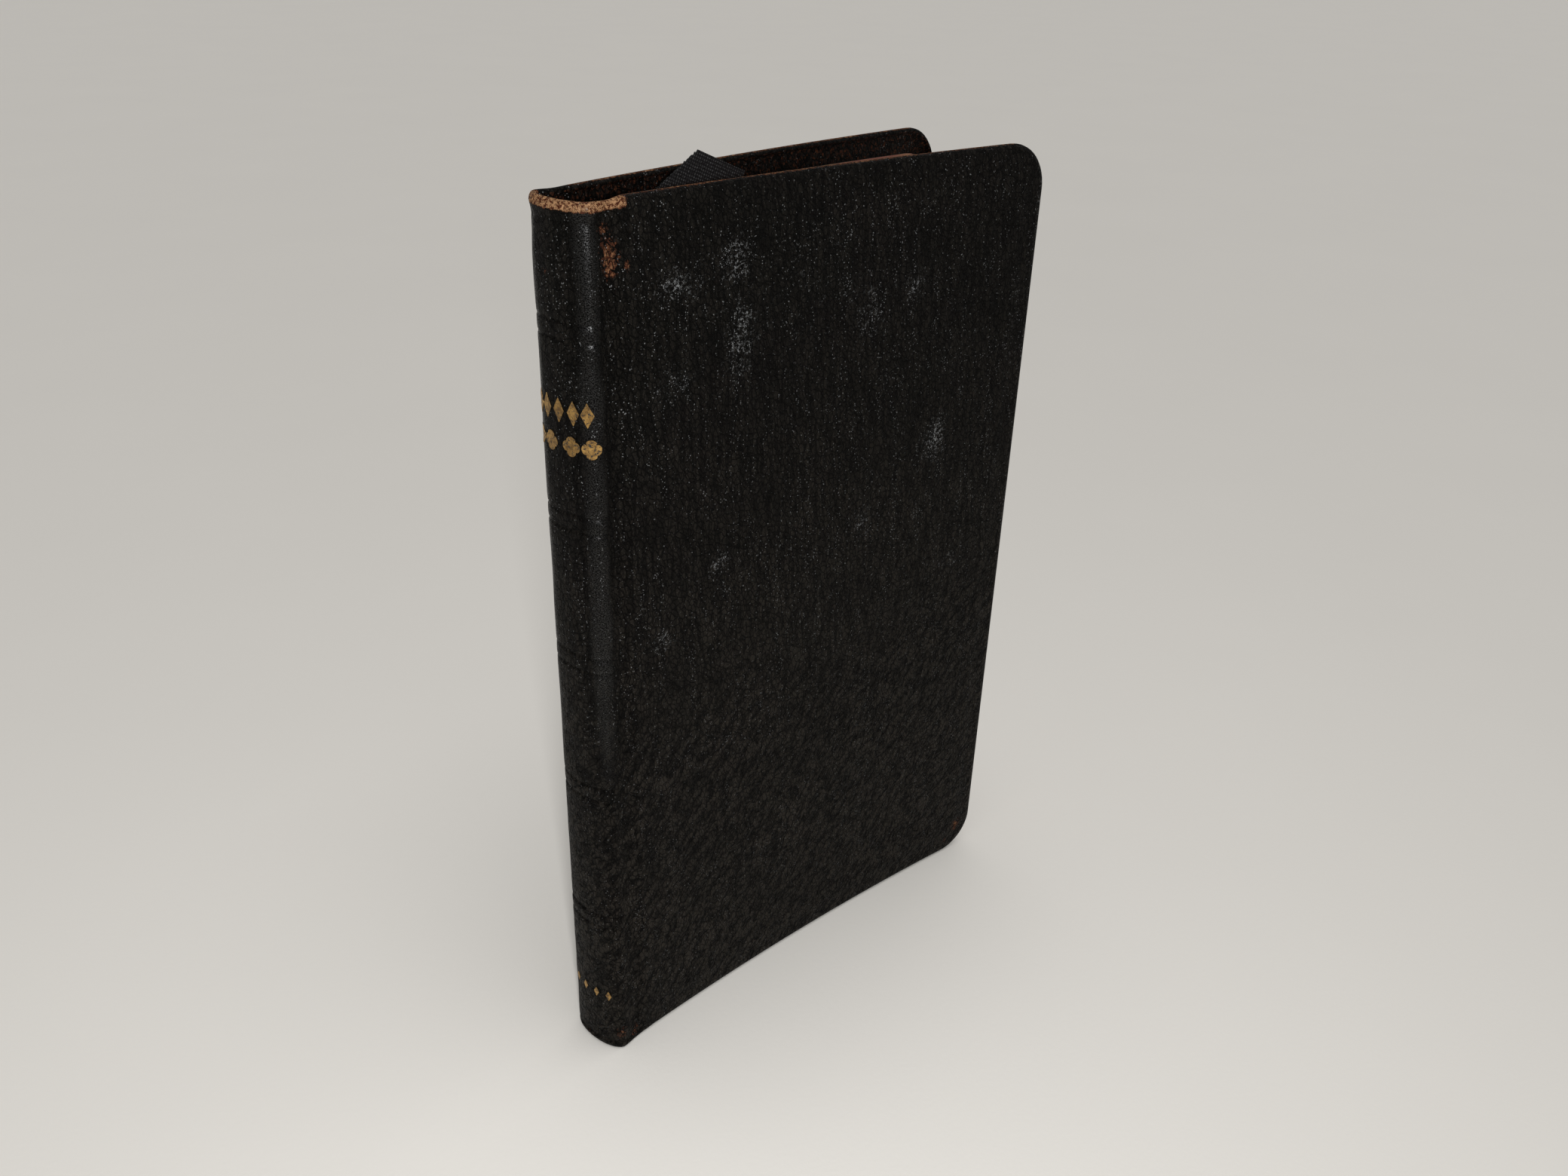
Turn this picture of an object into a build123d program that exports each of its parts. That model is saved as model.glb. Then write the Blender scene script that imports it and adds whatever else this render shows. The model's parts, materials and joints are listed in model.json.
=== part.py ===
from build123d import *
import os
from math import atan2, cos, degrees, radians, sin, sqrt

# A small hymn book in limp leather, standing on its tail edge with its covers a little open.
# +Z runs from tail to head, +X from the spine to the fore-edge, and the front cover is on the -Y side.
# The origin is the middle of the spine's tail edge. Lengths are in millimetres, angles in degrees.

# ---------------------------------------------------------------- driving dimensions
# Case
COVER_HEIGHT = 171.0
COVER_WIDTH = 106.0  # joint to fore-edge
COVER_CORNER = 9.0
LEATHER = 0.8
CARD = 0.5
TURN_IN = 0.4  # pared leather turned over the card
TURN_IN_WIDTH = 13.0
LIP = 1.0  # the overhanging edge, two layers of leather
LIP_DEPTH = 2.6  # how far the edge is bent towards the pages
LIP_ROUND = 1.7
BOW_RADIUS = 681.0  # the standing book curls towards its front
REST_OPENING = 4.4  # each cover, from closed
FULL_OPENING = 169.4  # each cover, from closed
HINGE_GAP = 0.3  # between spine and cover leather, each side of the joint line
SPINE_RISE = 3.0  # how far the spine stands out behind the joint line
SPINE_EDGE_ROUND = 0.35

# Glued layers
PAPER = 0.15  # pastedown
MULL = 0.15  # cloth over the section folds
MULL_FLANGE_WIDTH = 18.0
MULL_MARGIN = 15.0  # mull stops short of head and tail
CARD_MARGIN = 5.5  # card stops short of the cover's edge
JOINT_WIDTH = 4.5  # only leather crosses the joint: card, mull flange and pastedown start past it

# Text block
SECTION_COUNT = 11
FIXED_SECTION = 6  # the middle section stays on the spine
LEAVES = 16
LEAF = 0.05
SECTION_GAP = 0.05
SQUARE = 3.5  # the cover's overhang at head and tail
FORE_SQUARE = 8.5
PAGE_CORNER = 9.0
FOLD = 0.5  # a section's thickness at its fold
FOLD_LENGTH = 1.6  # where a section reaches its full thickness
FLYLEAF = 0.1
FLYLEAF_START = 1.2
FAN_STEP = 5.0  # turn from one section to the next at full opening
FLYLEAF_FAN = 30.0  # the flyleaf's turn at full opening
THREAD = 0.3
STATIONS = (12.0, 47.0, 81.0, 115.0, 150.0)  # link stitches, above the pages' tail edge
STITCH_HEIGHT = 0.9
STITCH_GAP = 0.15  # between the link stitches and the folds
BAND_RADIUS = 0.6  # head and tail bands

# Ribbon marker
RIBBON = 0.15
RIBBON_WIDTH = 10.0
RIBBON_GAP = 0.4
# Middle line, from the joint line and the tail edge: glued end, turn, fold above the pages, cut end
RIBBON_ROUTE = ((2.5, 160.0), (8.5, 60.4), (22.8, 171.5), (38.05, 165.35))

# Tooling on the spine
GILT = 0.06
GILT_SEAT = 0.01
LINE_HEIGHTS = (33.6, 64.3, 92.0, 118.9, 151.2)  # middle of each pair of blind lines
LINE_SPACING = 2.9
LINE_WIDTH = 0.7
LINE_DEPTH = 0.2
TITLE_ROWS = ((138.3, (-52.0, -26.0, 0.0, 26.0, 52.0), 2.1), (132.6, (-58.0, -20.0, 20.0, 58.0), 1.7))
FOOT_ROW = (14.4, (-40.0, -13.0, 13.0, 40.0), 1.2)

# ---------------------------------------------------------------- worked out from them
CUT = 1.0  # how far a cutter passes the face that it cuts
LINER_DEPTH = LEATHER + CARD  # the card's inner face
FACE_DEPTH = LINER_DEPTH + TURN_IN  # the turn-in's inner face
SECTION = LEAVES * LEAF
PITCH = SECTION + SECTION_GAP
BLOCK = (SECTION_COUNT - 1) * PITCH + SECTION + RIBBON_GAP
CLOSED_THICKNESS = BLOCK + 2 * (FACE_DEPTH + FLYLEAF + 2 * SECTION_GAP)
HALF = CLOSED_THICKNESS / 2
SPINE_INNER = LEATHER + TURN_IN
HINGE_X = SPINE_RISE - SPINE_INNER / 2
PAGE_TAIL = SQUARE
PAGE_HEAD = COVER_HEIGHT - SQUARE
PAGE_END = COVER_WIDTH - FORE_SQUARE
MULL_DEPTH = SPINE_INNER + MULL
THREAD_DEPTH = MULL_DEPTH + THREAD
BACK_RISE = SPINE_RISE - THREAD_DEPTH - STITCH_GAP - FOLD / 2  # the rounding that the folds follow
BACK_HALF = HALF - FACE_DEPTH


def fold_x(offset):
    """The fold's place behind the joint line, for a leaf at this offset from the middle."""
    return HINGE_X - BACK_RISE * sqrt(max(0.0, 1 - (offset / BACK_HALF) ** 2))


def turned(pivot, turn, height):
    """Plane on which the closed book's X and Y are drawn, turned about a joint at pivot."""
    along = (cos(radians(turn)), sin(radians(turn)))
    x = pivot[0] - pivot[0] * along[0] + pivot[1] * along[1]
    y = pivot[1] - pivot[0] * along[1] - pivot[1] * along[0]
    return Plane(origin=(x, y, height), x_dir=(along[0], along[1], 0), z_dir=(0, 0, 1))


def bow_arc(offset, start, end, reference):
    """Arc of the bowed book at an offset from its middle, from the joint side outwards."""
    begin, finish = degrees(start / reference), degrees(end / reference)
    return CenterArc((HINGE_X, -BOW_RADIUS), BOW_RADIUS + offset, 90 - begin, begin - finish)


def bowed_outline(offsets, start, end, reference):
    """Sketch between two offsets from the book's middle, start and end along the leaf."""
    with BuildSketch() as outline:
        with BuildLine():
            low = bow_arc(offsets[0], start, end, reference)
            high = bow_arc(offsets[1], start, end, reference)
            Line(low @ 0, high @ 0)
            Line(low @ 1, high @ 1)
        make_face()
    return outline.sketch


def fore_corners(part):
    """The two short edges of a plate that become its rounded fore-edge corners."""
    return part.edges().filter_by(GeomType.LINE).filter_by(Axis.Z, reverse=True).sort_by(Axis.X)[-2:]


def bowed_plate(place, offsets, span, heights, reference, corner=0.0):
    """A bowed layer of the book: place is its (pivot, turn), span along the leaf."""
    with BuildPart() as plate:
        with BuildSketch(turned(*place, heights[0])):
            add(bowed_outline(offsets, *span, reference))
        extrude(amount=heights[1] - heights[0])
        if corner:
            fillet(fore_corners(plate), corner)
    return plate.part


def spine_layer(outer, inner, heights, half_width=HALF + CUT):
    """A layer of the rounded spine between two depths under its outer face."""
    with BuildPart() as layer:
        with BuildSketch(Plane.XY.offset(heights[0])):
            with Locations((HINGE_X, 0)):
                Ellipse(SPINE_RISE - outer, HALF - outer)
                Ellipse(SPINE_RISE - inner, HALF - inner, mode=Mode.SUBTRACT)
            with Locations((HINGE_X - HINGE_GAP, 0)):
                Rectangle(
                    SPINE_RISE + 2 * CUT, 2 * half_width, align=(Align.MAX, Align.CENTER), mode=Mode.INTERSECT
                )
        extrude(amount=heights[1] - heights[0])
    return layer.part


def spine_plane(angle, height):
    """Plane on the spine's outer face, at an angle round its ellipse from the middle."""
    depth, across = cos(radians(angle)), sin(radians(angle))
    outward = Vector(-depth / SPINE_RISE, across / HALF, 0).normalized()
    origin = (HINGE_X - SPINE_RISE * depth, HALF * across, height)
    return Plane(origin=origin, x_dir=Vector(0, 0, 1).cross(outward), z_dir=outward)


def write(part, name):
    """Label a finished piece and write its STEP file."""
    part.label = name
    export_step(part, f"parts/{name}.step")


os.makedirs("parts", exist_ok=True)

# ---------------------------------------------------------------- covers
for side, name in ((-1, "front"), (1, "back")):
    joint = ((HINGE_X, side * HALF), side * REST_OPENING)
    joint_radius = BOW_RADIUS + side * HALF

    def layer(depths, span, heights, corner=0.0):
        """A layer of this cover between two depths under its outer face."""
        offsets = sorted(side * (HALF - depth) for depth in depths)
        return bowed_plate(joint, offsets, span, heights, joint_radius, corner)

    hollow = layer(
        (FACE_DEPTH, LIP_DEPTH + CUT),
        (HINGE_GAP - CUT, COVER_WIDTH - LIP),
        (LIP, COVER_HEIGHT - LIP),
        COVER_CORNER - LIP,
    )
    card_heights = (CARD_MARGIN, COVER_HEIGHT - CARD_MARGIN)
    card_end = COVER_WIDTH - CARD_MARGIN
    pocket = layer(
        (LEATHER, LINER_DEPTH), (JOINT_WIDTH, card_end), card_heights, COVER_CORNER - CARD_MARGIN / 2
    )
    window_heights = (TURN_IN_WIDTH, COVER_HEIGHT - TURN_IN_WIDTH)
    window_end = COVER_WIDTH - TURN_IN_WIDTH
    window = layer((LEATHER, FACE_DEPTH + CUT), (HINGE_GAP - CUT, window_end), window_heights)

    joint_relief = layer(
        (SPINE_INNER, FACE_DEPTH + CUT), (HINGE_GAP - CUT, JOINT_WIDTH), (LIP, COVER_HEIGHT - LIP)
    )

    with BuildPart() as cover_leather:
        add(layer((0, LIP_DEPTH), (HINGE_GAP, COVER_WIDTH), (0, COVER_HEIGHT), COVER_CORNER))
        outer_face = cover_leather.faces().sort_by(SortBy.AREA)[-2:].sort_by(Axis.Y)[0 if side < 0 else -1]
        fillet(outer_face.edges().sort_by(Axis.X)[1:], LIP_ROUND)
        add(hollow, mode=Mode.SUBTRACT)
        add(pocket, mode=Mode.SUBTRACT)
        add(window, mode=Mode.SUBTRACT)
        add(joint_relief, mode=Mode.SUBTRACT)
    write(cover_leather.part, f"{name}_cover_leather")

    flange_heights = (MULL_MARGIN, COVER_HEIGHT - MULL_MARGIN)
    recess = layer(
        (LINER_DEPTH - MULL, LINER_DEPTH + CUT), (JOINT_WIDTH - CUT, MULL_FLANGE_WIDTH), flange_heights
    )
    with BuildPart() as board_card:
        add(pocket)
        add(recess, mode=Mode.SUBTRACT)
    write(board_card.part, f"{name}_board_card")

    with BuildPart() as mull_flange:
        add(layer((LINER_DEPTH - MULL, LINER_DEPTH), (JOINT_WIDTH, MULL_FLANGE_WIDTH), flange_heights))
    write(mull_flange.part, f"{name}_mull_flange")

    with BuildPart() as pastedown:
        add(layer((LINER_DEPTH, LINER_DEPTH + PAPER), (JOINT_WIDTH, window_end), window_heights))
    write(pastedown.part, f"{name}_pastedown")

    # The free half of the endpaper turns about the folds, a little outside the first section
    leaf_offset = side * (BLOCK / 2 + SECTION_GAP + FLYLEAF / 2)
    leaf_turn = side * REST_OPENING * FLYLEAF_FAN / FULL_OPENING
    with BuildPart() as flyleaf:
        add(
            bowed_plate(
                ((fold_x(leaf_offset), leaf_offset), leaf_turn),
                (leaf_offset - FLYLEAF / 2, leaf_offset + FLYLEAF / 2),
                (FLYLEAF_START, PAGE_END),
                (PAGE_TAIL, PAGE_HEAD),
                BOW_RADIUS,
                PAGE_CORNER,
            )
        )
    write(flyleaf.part, f"{name}_flyleaf")

# ---------------------------------------------------------------- spine
full_heights = (0, COVER_HEIGHT)
lining_heights = (TURN_IN_WIDTH, COVER_HEIGHT - TURN_IN_WIDTH)
with BuildPart() as spine_leather:
    add(spine_layer(0, SPINE_INNER, full_heights))
    rims = spine_leather.faces().filter_by(Axis.Z)
    fillet([rim.edges().sort_by(SortBy.LENGTH)[-1] for rim in rims], SPINE_EDGE_ROUND)
    add(spine_layer(LEATHER, SPINE_INNER + CUT, lining_heights), mode=Mode.SUBTRACT)
    for height in LINE_HEIGHTS:
        for middle in (height - LINE_SPACING / 2, height + LINE_SPACING / 2):
            line_heights = (middle - LINE_WIDTH / 2, middle + LINE_WIDTH / 2)
            add(spine_layer(-CUT, LINE_DEPTH, line_heights), mode=Mode.SUBTRACT)
write(spine_leather.part, "spine_leather")

with BuildPart() as spine_lining:
    add(spine_layer(LEATHER, SPINE_INNER, lining_heights))
write(spine_lining.part, "spine_lining")

with BuildPart() as spine_mull:
    add(spine_layer(SPINE_INNER, MULL_DEPTH, (MULL_MARGIN, COVER_HEIGHT - MULL_MARGIN)))
write(spine_mull.part, "spine_mull")

# Link stitches cross the folds at each sewing station
with BuildPart() as sewing_thread:
    for station in STATIONS:
        middle = PAGE_TAIL + station
        stitch_heights = (middle - STITCH_HEIGHT / 2, middle + STITCH_HEIGHT / 2)
        add(spine_layer(MULL_DEPTH, THREAD_DEPTH, stitch_heights, BLOCK / 2 - SECTION))
write(sewing_thread.part, "sewing_thread")

# The bands lie along the rounded back, just beyond the pages' head and tail edges
band_half = BLOCK / 2 - FOLD
band_ends = [(fold_x(y) + BAND_RADIUS, y) for y in (-band_half, band_half)]
band_middle = (fold_x(0) + BAND_RADIUS, 0)
for name, height in (
    ("tail_band", PAGE_TAIL - BAND_RADIUS - SECTION_GAP),
    ("head_band", PAGE_HEAD + BAND_RADIUS + SECTION_GAP),
):
    with BuildPart() as band:
        with BuildLine(Plane.XY.offset(height)) as route:
            ThreePointArc(band_ends[0], band_middle, band_ends[1])
        with BuildSketch(Plane(origin=route.line @ 0, z_dir=route.line % 0)):
            Circle(BAND_RADIUS)
        sweep()
    write(band.part, name)

# ---------------------------------------------------------------- text block
offsets = []
for number in range(1, SECTION_COUNT + 1):
    past_ribbon = RIBBON_GAP if number > FIXED_SECTION else 0.0
    offset = -BLOCK / 2 + SECTION / 2 + (number - 1) * PITCH + past_ribbon
    offsets.append(offset)
    fan = (number - FIXED_SECTION) * FAN_STEP * REST_OPENING / FULL_OPENING
    fold = fold_x(offset)
    taper_end = fold - HINGE_X + FOLD_LENGTH
    with BuildPart() as section:
        with BuildSketch(turned((fold, offset), fan, PAGE_TAIL)):
            with BuildLine():
                front = bow_arc(offset - SECTION / 2, taper_end, PAGE_END, BOW_RADIUS)
                back = bow_arc(offset + SECTION / 2, taper_end, PAGE_END, BOW_RADIUS)
                Line(front @ 1, back @ 1)
                Line(front @ 0, (fold, offset - FOLD / 2))
                ThreePointArc((fold, offset - FOLD / 2), (fold - FOLD / 2, offset), (fold, offset + FOLD / 2))
                Line((fold, offset + FOLD / 2), back @ 0)
            make_face()
        extrude(amount=PAGE_HEAD - PAGE_TAIL)
        fillet(fore_corners(section), PAGE_CORNER)
    write(section.part, f"section_{number:02d}")

# ---------------------------------------------------------------- ribbon marker
ribbon_middle = (offsets[FIXED_SECTION - 1] + offsets[FIXED_SECTION]) / 2


def ribbon_corners(before, point, after):
    """The ribbon's two edges where its middle line passes a point: a fold, or a square end."""
    leaving = (after - point).normalized() if after else (point - before).normalized()
    arriving = (point - before).normalized() if before else leaving
    across = (arriving + leaving).normalized() if before and after else leaving.rotate(Axis.Z, 90)
    reach = RIBBON_WIDTH / 2 / abs(arriving.cross(across).Z)
    return point - across * reach, point + across * reach


def ribbon_run(corners, offsets_from_middle):
    """One straight run of ribbon, on the bow of the pages."""
    band_offsets = [ribbon_middle + offset for offset in offsets_from_middle]
    place = ((HINGE_X, ribbon_middle), 0)
    with BuildPart() as run:
        add(bowed_plate(place, band_offsets, (0, PAGE_END), (PAGE_TAIL, COVER_HEIGHT + SQUARE), BOW_RADIUS))
        with BuildSketch(Plane.XZ):
            with Locations((HINGE_X, 0)):
                Polygon(*corners, align=None)
        extrude(amount=COVER_WIDTH, both=True, mode=Mode.INTERSECT)
    return run.part


# The ribbon goes down between the pages, turns and comes back up, and its end is folded over forwards
route = [Vector(*point) for point in RIBBON_ROUTE]
stations = [ribbon_corners(*trio) for trio in zip([None, *route[:-1]], route, [*route[1:], None])]
layers = ((-RIBBON, 0), (0, RIBBON), (-RIBBON, 0))
with BuildPart() as ribbon_marker:
    for start, end, near, far, layer_offsets in zip(route, route[1:], stations, stations[1:], layers):
        near = sorted(near, key=lambda corner: (end - start).cross(corner - start).Z)
        far = sorted(far, key=lambda corner: (end - start).cross(corner - start).Z, reverse=True)
        add(ribbon_run([(corner.X, corner.Y) for corner in near + far], layer_offsets))
write(ribbon_marker.part, "ribbon_marker")


# ---------------------------------------------------------------- gilt tooling
def lozenge(size):
    """A narrow upright diamond."""
    with BuildSketch() as shape:
        with BuildLine():
            Polyline((0, size), (size * 0.55, 0), (0, -size), (-size * 0.55, 0), close=True)
        make_face()
    return shape.sketch


def quatrefoil(size):
    """Four round petals."""
    with BuildSketch() as shape:
        with PolarLocations(size * 0.5, 4):
            Circle(size * 0.5)
    return shape.sketch


def gilt_row(height, angles, size, device):
    """A row of devices in gold leaf on the spine's outer face."""
    with BuildPart() as row:
        for angle in angles:
            with BuildSketch(spine_plane(angle, height)):
                add(device(size))
            extrude(amount=CUT, both=True)
        leaf_heights = (height - size - CUT, height + size + CUT)
        add(spine_layer(-GILT - GILT_SEAT, -GILT_SEAT, leaf_heights), mode=Mode.INTERSECT)
    return row.part


with BuildPart() as gilt_title:
    for row, device in zip(TITLE_ROWS, (lozenge, quatrefoil)):
        add(gilt_row(*row, device))
write(gilt_title.part, "gilt_title")

with BuildPart() as gilt_foot:
    add(gilt_row(*FOOT_ROW, lozenge))
write(gilt_foot.part, "gilt_foot")
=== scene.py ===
"""Looks for a small hymn book in limp leather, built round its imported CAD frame.

Lengths are in millimetres until a finished mesh is scaled to metres. The leather, the endpapers and
the ribbon are modelled flat and then wrapped on to the book. Along the hide, u is zero at the front
joint, grows over the front cover and falls over the spine on to the back cover; v is the height
above the tail edge, and depth is measured inwards from the leather's outer face.
"""
import json
import logging
import math
from dataclasses import dataclass, field
from enum import Enum
from functools import cached_property
from typing import Any, Callable, Sequence

import bmesh
import bpy
import numpy as np
from mathutils import Euler, Matrix, Vector, noise

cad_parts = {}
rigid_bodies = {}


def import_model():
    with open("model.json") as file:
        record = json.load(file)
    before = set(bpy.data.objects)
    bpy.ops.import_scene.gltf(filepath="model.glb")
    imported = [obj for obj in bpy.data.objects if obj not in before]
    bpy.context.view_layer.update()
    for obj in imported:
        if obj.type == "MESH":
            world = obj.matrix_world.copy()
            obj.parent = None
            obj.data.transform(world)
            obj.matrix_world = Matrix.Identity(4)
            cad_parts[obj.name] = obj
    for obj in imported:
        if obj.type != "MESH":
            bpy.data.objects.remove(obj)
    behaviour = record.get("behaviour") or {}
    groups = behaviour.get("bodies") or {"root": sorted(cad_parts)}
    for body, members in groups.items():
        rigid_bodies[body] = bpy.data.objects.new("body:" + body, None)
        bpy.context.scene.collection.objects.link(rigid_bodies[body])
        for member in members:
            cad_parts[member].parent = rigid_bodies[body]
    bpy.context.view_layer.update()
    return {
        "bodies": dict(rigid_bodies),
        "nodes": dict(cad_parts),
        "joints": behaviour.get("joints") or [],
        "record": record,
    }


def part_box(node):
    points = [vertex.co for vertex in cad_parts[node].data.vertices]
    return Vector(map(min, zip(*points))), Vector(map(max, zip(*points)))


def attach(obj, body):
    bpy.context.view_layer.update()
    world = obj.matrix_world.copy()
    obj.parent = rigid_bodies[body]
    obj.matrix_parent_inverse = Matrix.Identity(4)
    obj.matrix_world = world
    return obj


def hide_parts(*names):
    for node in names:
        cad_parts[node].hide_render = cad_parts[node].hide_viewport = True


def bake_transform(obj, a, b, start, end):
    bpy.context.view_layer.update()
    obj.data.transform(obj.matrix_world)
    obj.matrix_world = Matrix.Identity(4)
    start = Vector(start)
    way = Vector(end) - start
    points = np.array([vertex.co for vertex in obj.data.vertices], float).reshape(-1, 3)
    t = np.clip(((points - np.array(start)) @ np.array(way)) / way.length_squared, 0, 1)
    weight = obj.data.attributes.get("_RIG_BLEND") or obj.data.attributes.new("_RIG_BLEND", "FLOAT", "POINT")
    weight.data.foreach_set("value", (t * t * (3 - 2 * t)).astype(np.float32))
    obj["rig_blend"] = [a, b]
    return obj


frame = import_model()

LOG = logging.getLogger("hymn_book")
MM = 0.001
Colour = tuple[float, float, float]


# ---------------------------------------------------------------- small helpers
def smooth(x: float) -> float:
    """Ease from 0 to 1 as x goes from 0 to 1."""
    x = min(1.0, max(0.0, x))
    return x * x * (3 - 2 * x)


def bell(x: float, width: float) -> float:
    """A rounded bump of height 1 at x = 0."""
    return math.exp(-((x / width) ** 2))


def grain(u: float, v: float, size: float, seed: float) -> float:
    """Smooth noise over the hide, from about -1 to 1.

    Args:
        u: Place along the hide.
        v: Height above the tail edge.
        size: Width of one swelling.
        seed: Number that picks a different pattern.

    Returns:
        The noise at that place.
    """
    return noise.noise(Vector((u / size, v / size, seed)))


def spaced(start: float, end: float, pitch: float) -> list[float]:
    """Even stations from start to end, about pitch apart, both ends included."""
    count = max(1, round((end - start) / pitch))
    return [start + (end - start) * step / count for step in range(count + 1)]


class Side(Enum):
    """The book's two covers, by the side of the middle plane on which they lie."""

    FRONT = -1
    BACK = 1

    @property
    def word(self) -> str:
        """The side's name in the frame's bodies, nodes and joints."""
        return self.name.lower()


@dataclass(frozen=True)
class BookPlan:
    """Where the book's layers lie.

    Args:
        height: Height of the covers.
        hinge_x: Place of both cover joints along X.
        half: Half the closed thickness.
        rest_turn: Turn of each cover from closed, in radians.
        fans: Rest turn of each leaf body from closed, in radians.
        folds: Place of each leaf body's joint.
    """

    height: float
    hinge_x: float
    half: float
    rest_turn: float
    fans: dict[str, float]
    folds: dict[str, tuple[float, float]]
    cover_width: float = 106.0
    cover_corner: float = 9.0
    bow_radius: float = 681.0
    spine_rise: float = 3.0
    joint_blend: float = 4.0

    @classmethod
    def from_frame(cls, packed: dict[str, Any]) -> "BookPlan":
        """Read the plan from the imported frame.


        Returns:
            The plan of the book as it stands.
        """
        joints = {joint["name"]: joint for joint in packed["joints"]}
        front = joints["front_cover_open"]
        rest = math.radians(-front["range_deg"][0])
        fans, folds = {}, {}
        for name, joint in joints.items():
            if name.endswith("_turn"):
                body = joint["child"]
                way = 1 if joint["axis"][2] > 0 else -1
                fans[body] = way * math.radians(-joint["range_deg"][0])
                folds[body] = (joint["pos_m"][0] / MM, joint["pos_m"][1] / MM)
        return cls(
            height=(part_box("spine_leather")[1][2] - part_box("spine_leather")[0][2]) / MM,
            hinge_x=front["pos_m"][0] / MM,
            half=-front["pos_m"][1] / MM,
            rest_turn=rest,
            fans=fans,
            folds=folds,
        )

    @cached_property
    def spine_arc(self) -> tuple[np.ndarray, np.ndarray]:
        """Ellipse angles from the front joint to the back one, and the hide's length up to each."""
        angles = np.linspace(-math.pi / 2, math.pi / 2, 721)
        middles = (angles[1:] + angles[:-1]) / 2
        speed = np.hypot(self.spine_rise * np.sin(middles), self.half * np.cos(middles))
        return angles, np.concatenate(([0.0], np.cumsum(speed * (angles[1] - angles[0]))))

    @property
    def spine_length(self) -> float:
        """The hide's length round the spine, from joint to joint."""
        return float(self.spine_arc[1][-1])

    def spine_u(self, degrees: float) -> float:
        """Place along the hide of an angle round the spine's ellipse from its middle."""
        return -float(np.interp(math.radians(degrees), *self.spine_arc))

    def bowed(self, s: float, offset: float, start: float = 0.0) -> tuple[float, float]:
        """Point of the closed book's bow.

        Args:
            s: Length along the leaf from the joint line.
            offset: Distance from the book's middle, positive towards the back.
            start: Offset of the layer along which s is measured.

        Returns:
            The point's x and y.
        """
        bend = s / (self.bow_radius + start)
        reach = self.bow_radius + offset
        return self.hinge_x + reach * math.sin(bend), reach * math.cos(bend) - self.bow_radius

    def on_cover(self, side: Side, s: float, v: float, depth: float) -> Vector:
        """Point of a cover as it stands.

        Args:
            side: Which cover.
            s: Length along the cover from its joint.
            v: Height above the tail edge.
            depth: Distance inwards from the cover's outer face.

        Returns:
            The point in millimetres.
        """
        sign = side.value
        x, y = self.bowed(s, sign * (self.half - depth), sign * self.half)
        turn = sign * self.rest_turn * smooth(s / self.joint_blend)
        x, y = x - self.hinge_x, y - sign * self.half
        return Vector(
            (
                self.hinge_x + x * math.cos(turn) - y * math.sin(turn),
                sign * self.half + x * math.sin(turn) + y * math.cos(turn),
                v,
            )
        )

    def on_hide(self, u: float, v: float, depth: float) -> Vector:
        """Point of the hide, whether it lies on a cover or on the spine."""
        if u > 0:
            return self.on_cover(Side.FRONT, u, v, depth)
        if u < -self.spine_length:
            return self.on_cover(Side.BACK, -u - self.spine_length, v, depth)
        angles, lengths = self.spine_arc
        angle = float(np.interp(-u, lengths, angles))
        x = self.hinge_x - (self.spine_rise - depth) * math.cos(angle)
        return Vector((x, (self.half - depth) * math.sin(angle), v))

    def on_leaf(self, body: str, s: float, v: float, offset: float) -> Vector:
        """Point of a leaf or section, turned about its own fold as it stands."""
        x, y = self.bowed(s, offset)
        if body in self.fans:
            (fold_x, fold_y), turn = self.folds[body], self.fans[body]
            x, y = x - fold_x, y - fold_y
            x, y = x * math.cos(turn) - y * math.sin(turn), x * math.sin(turn) + y * math.cos(turn)
            x, y = x + fold_x, y + fold_y
        return Vector((x, y, v))


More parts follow.
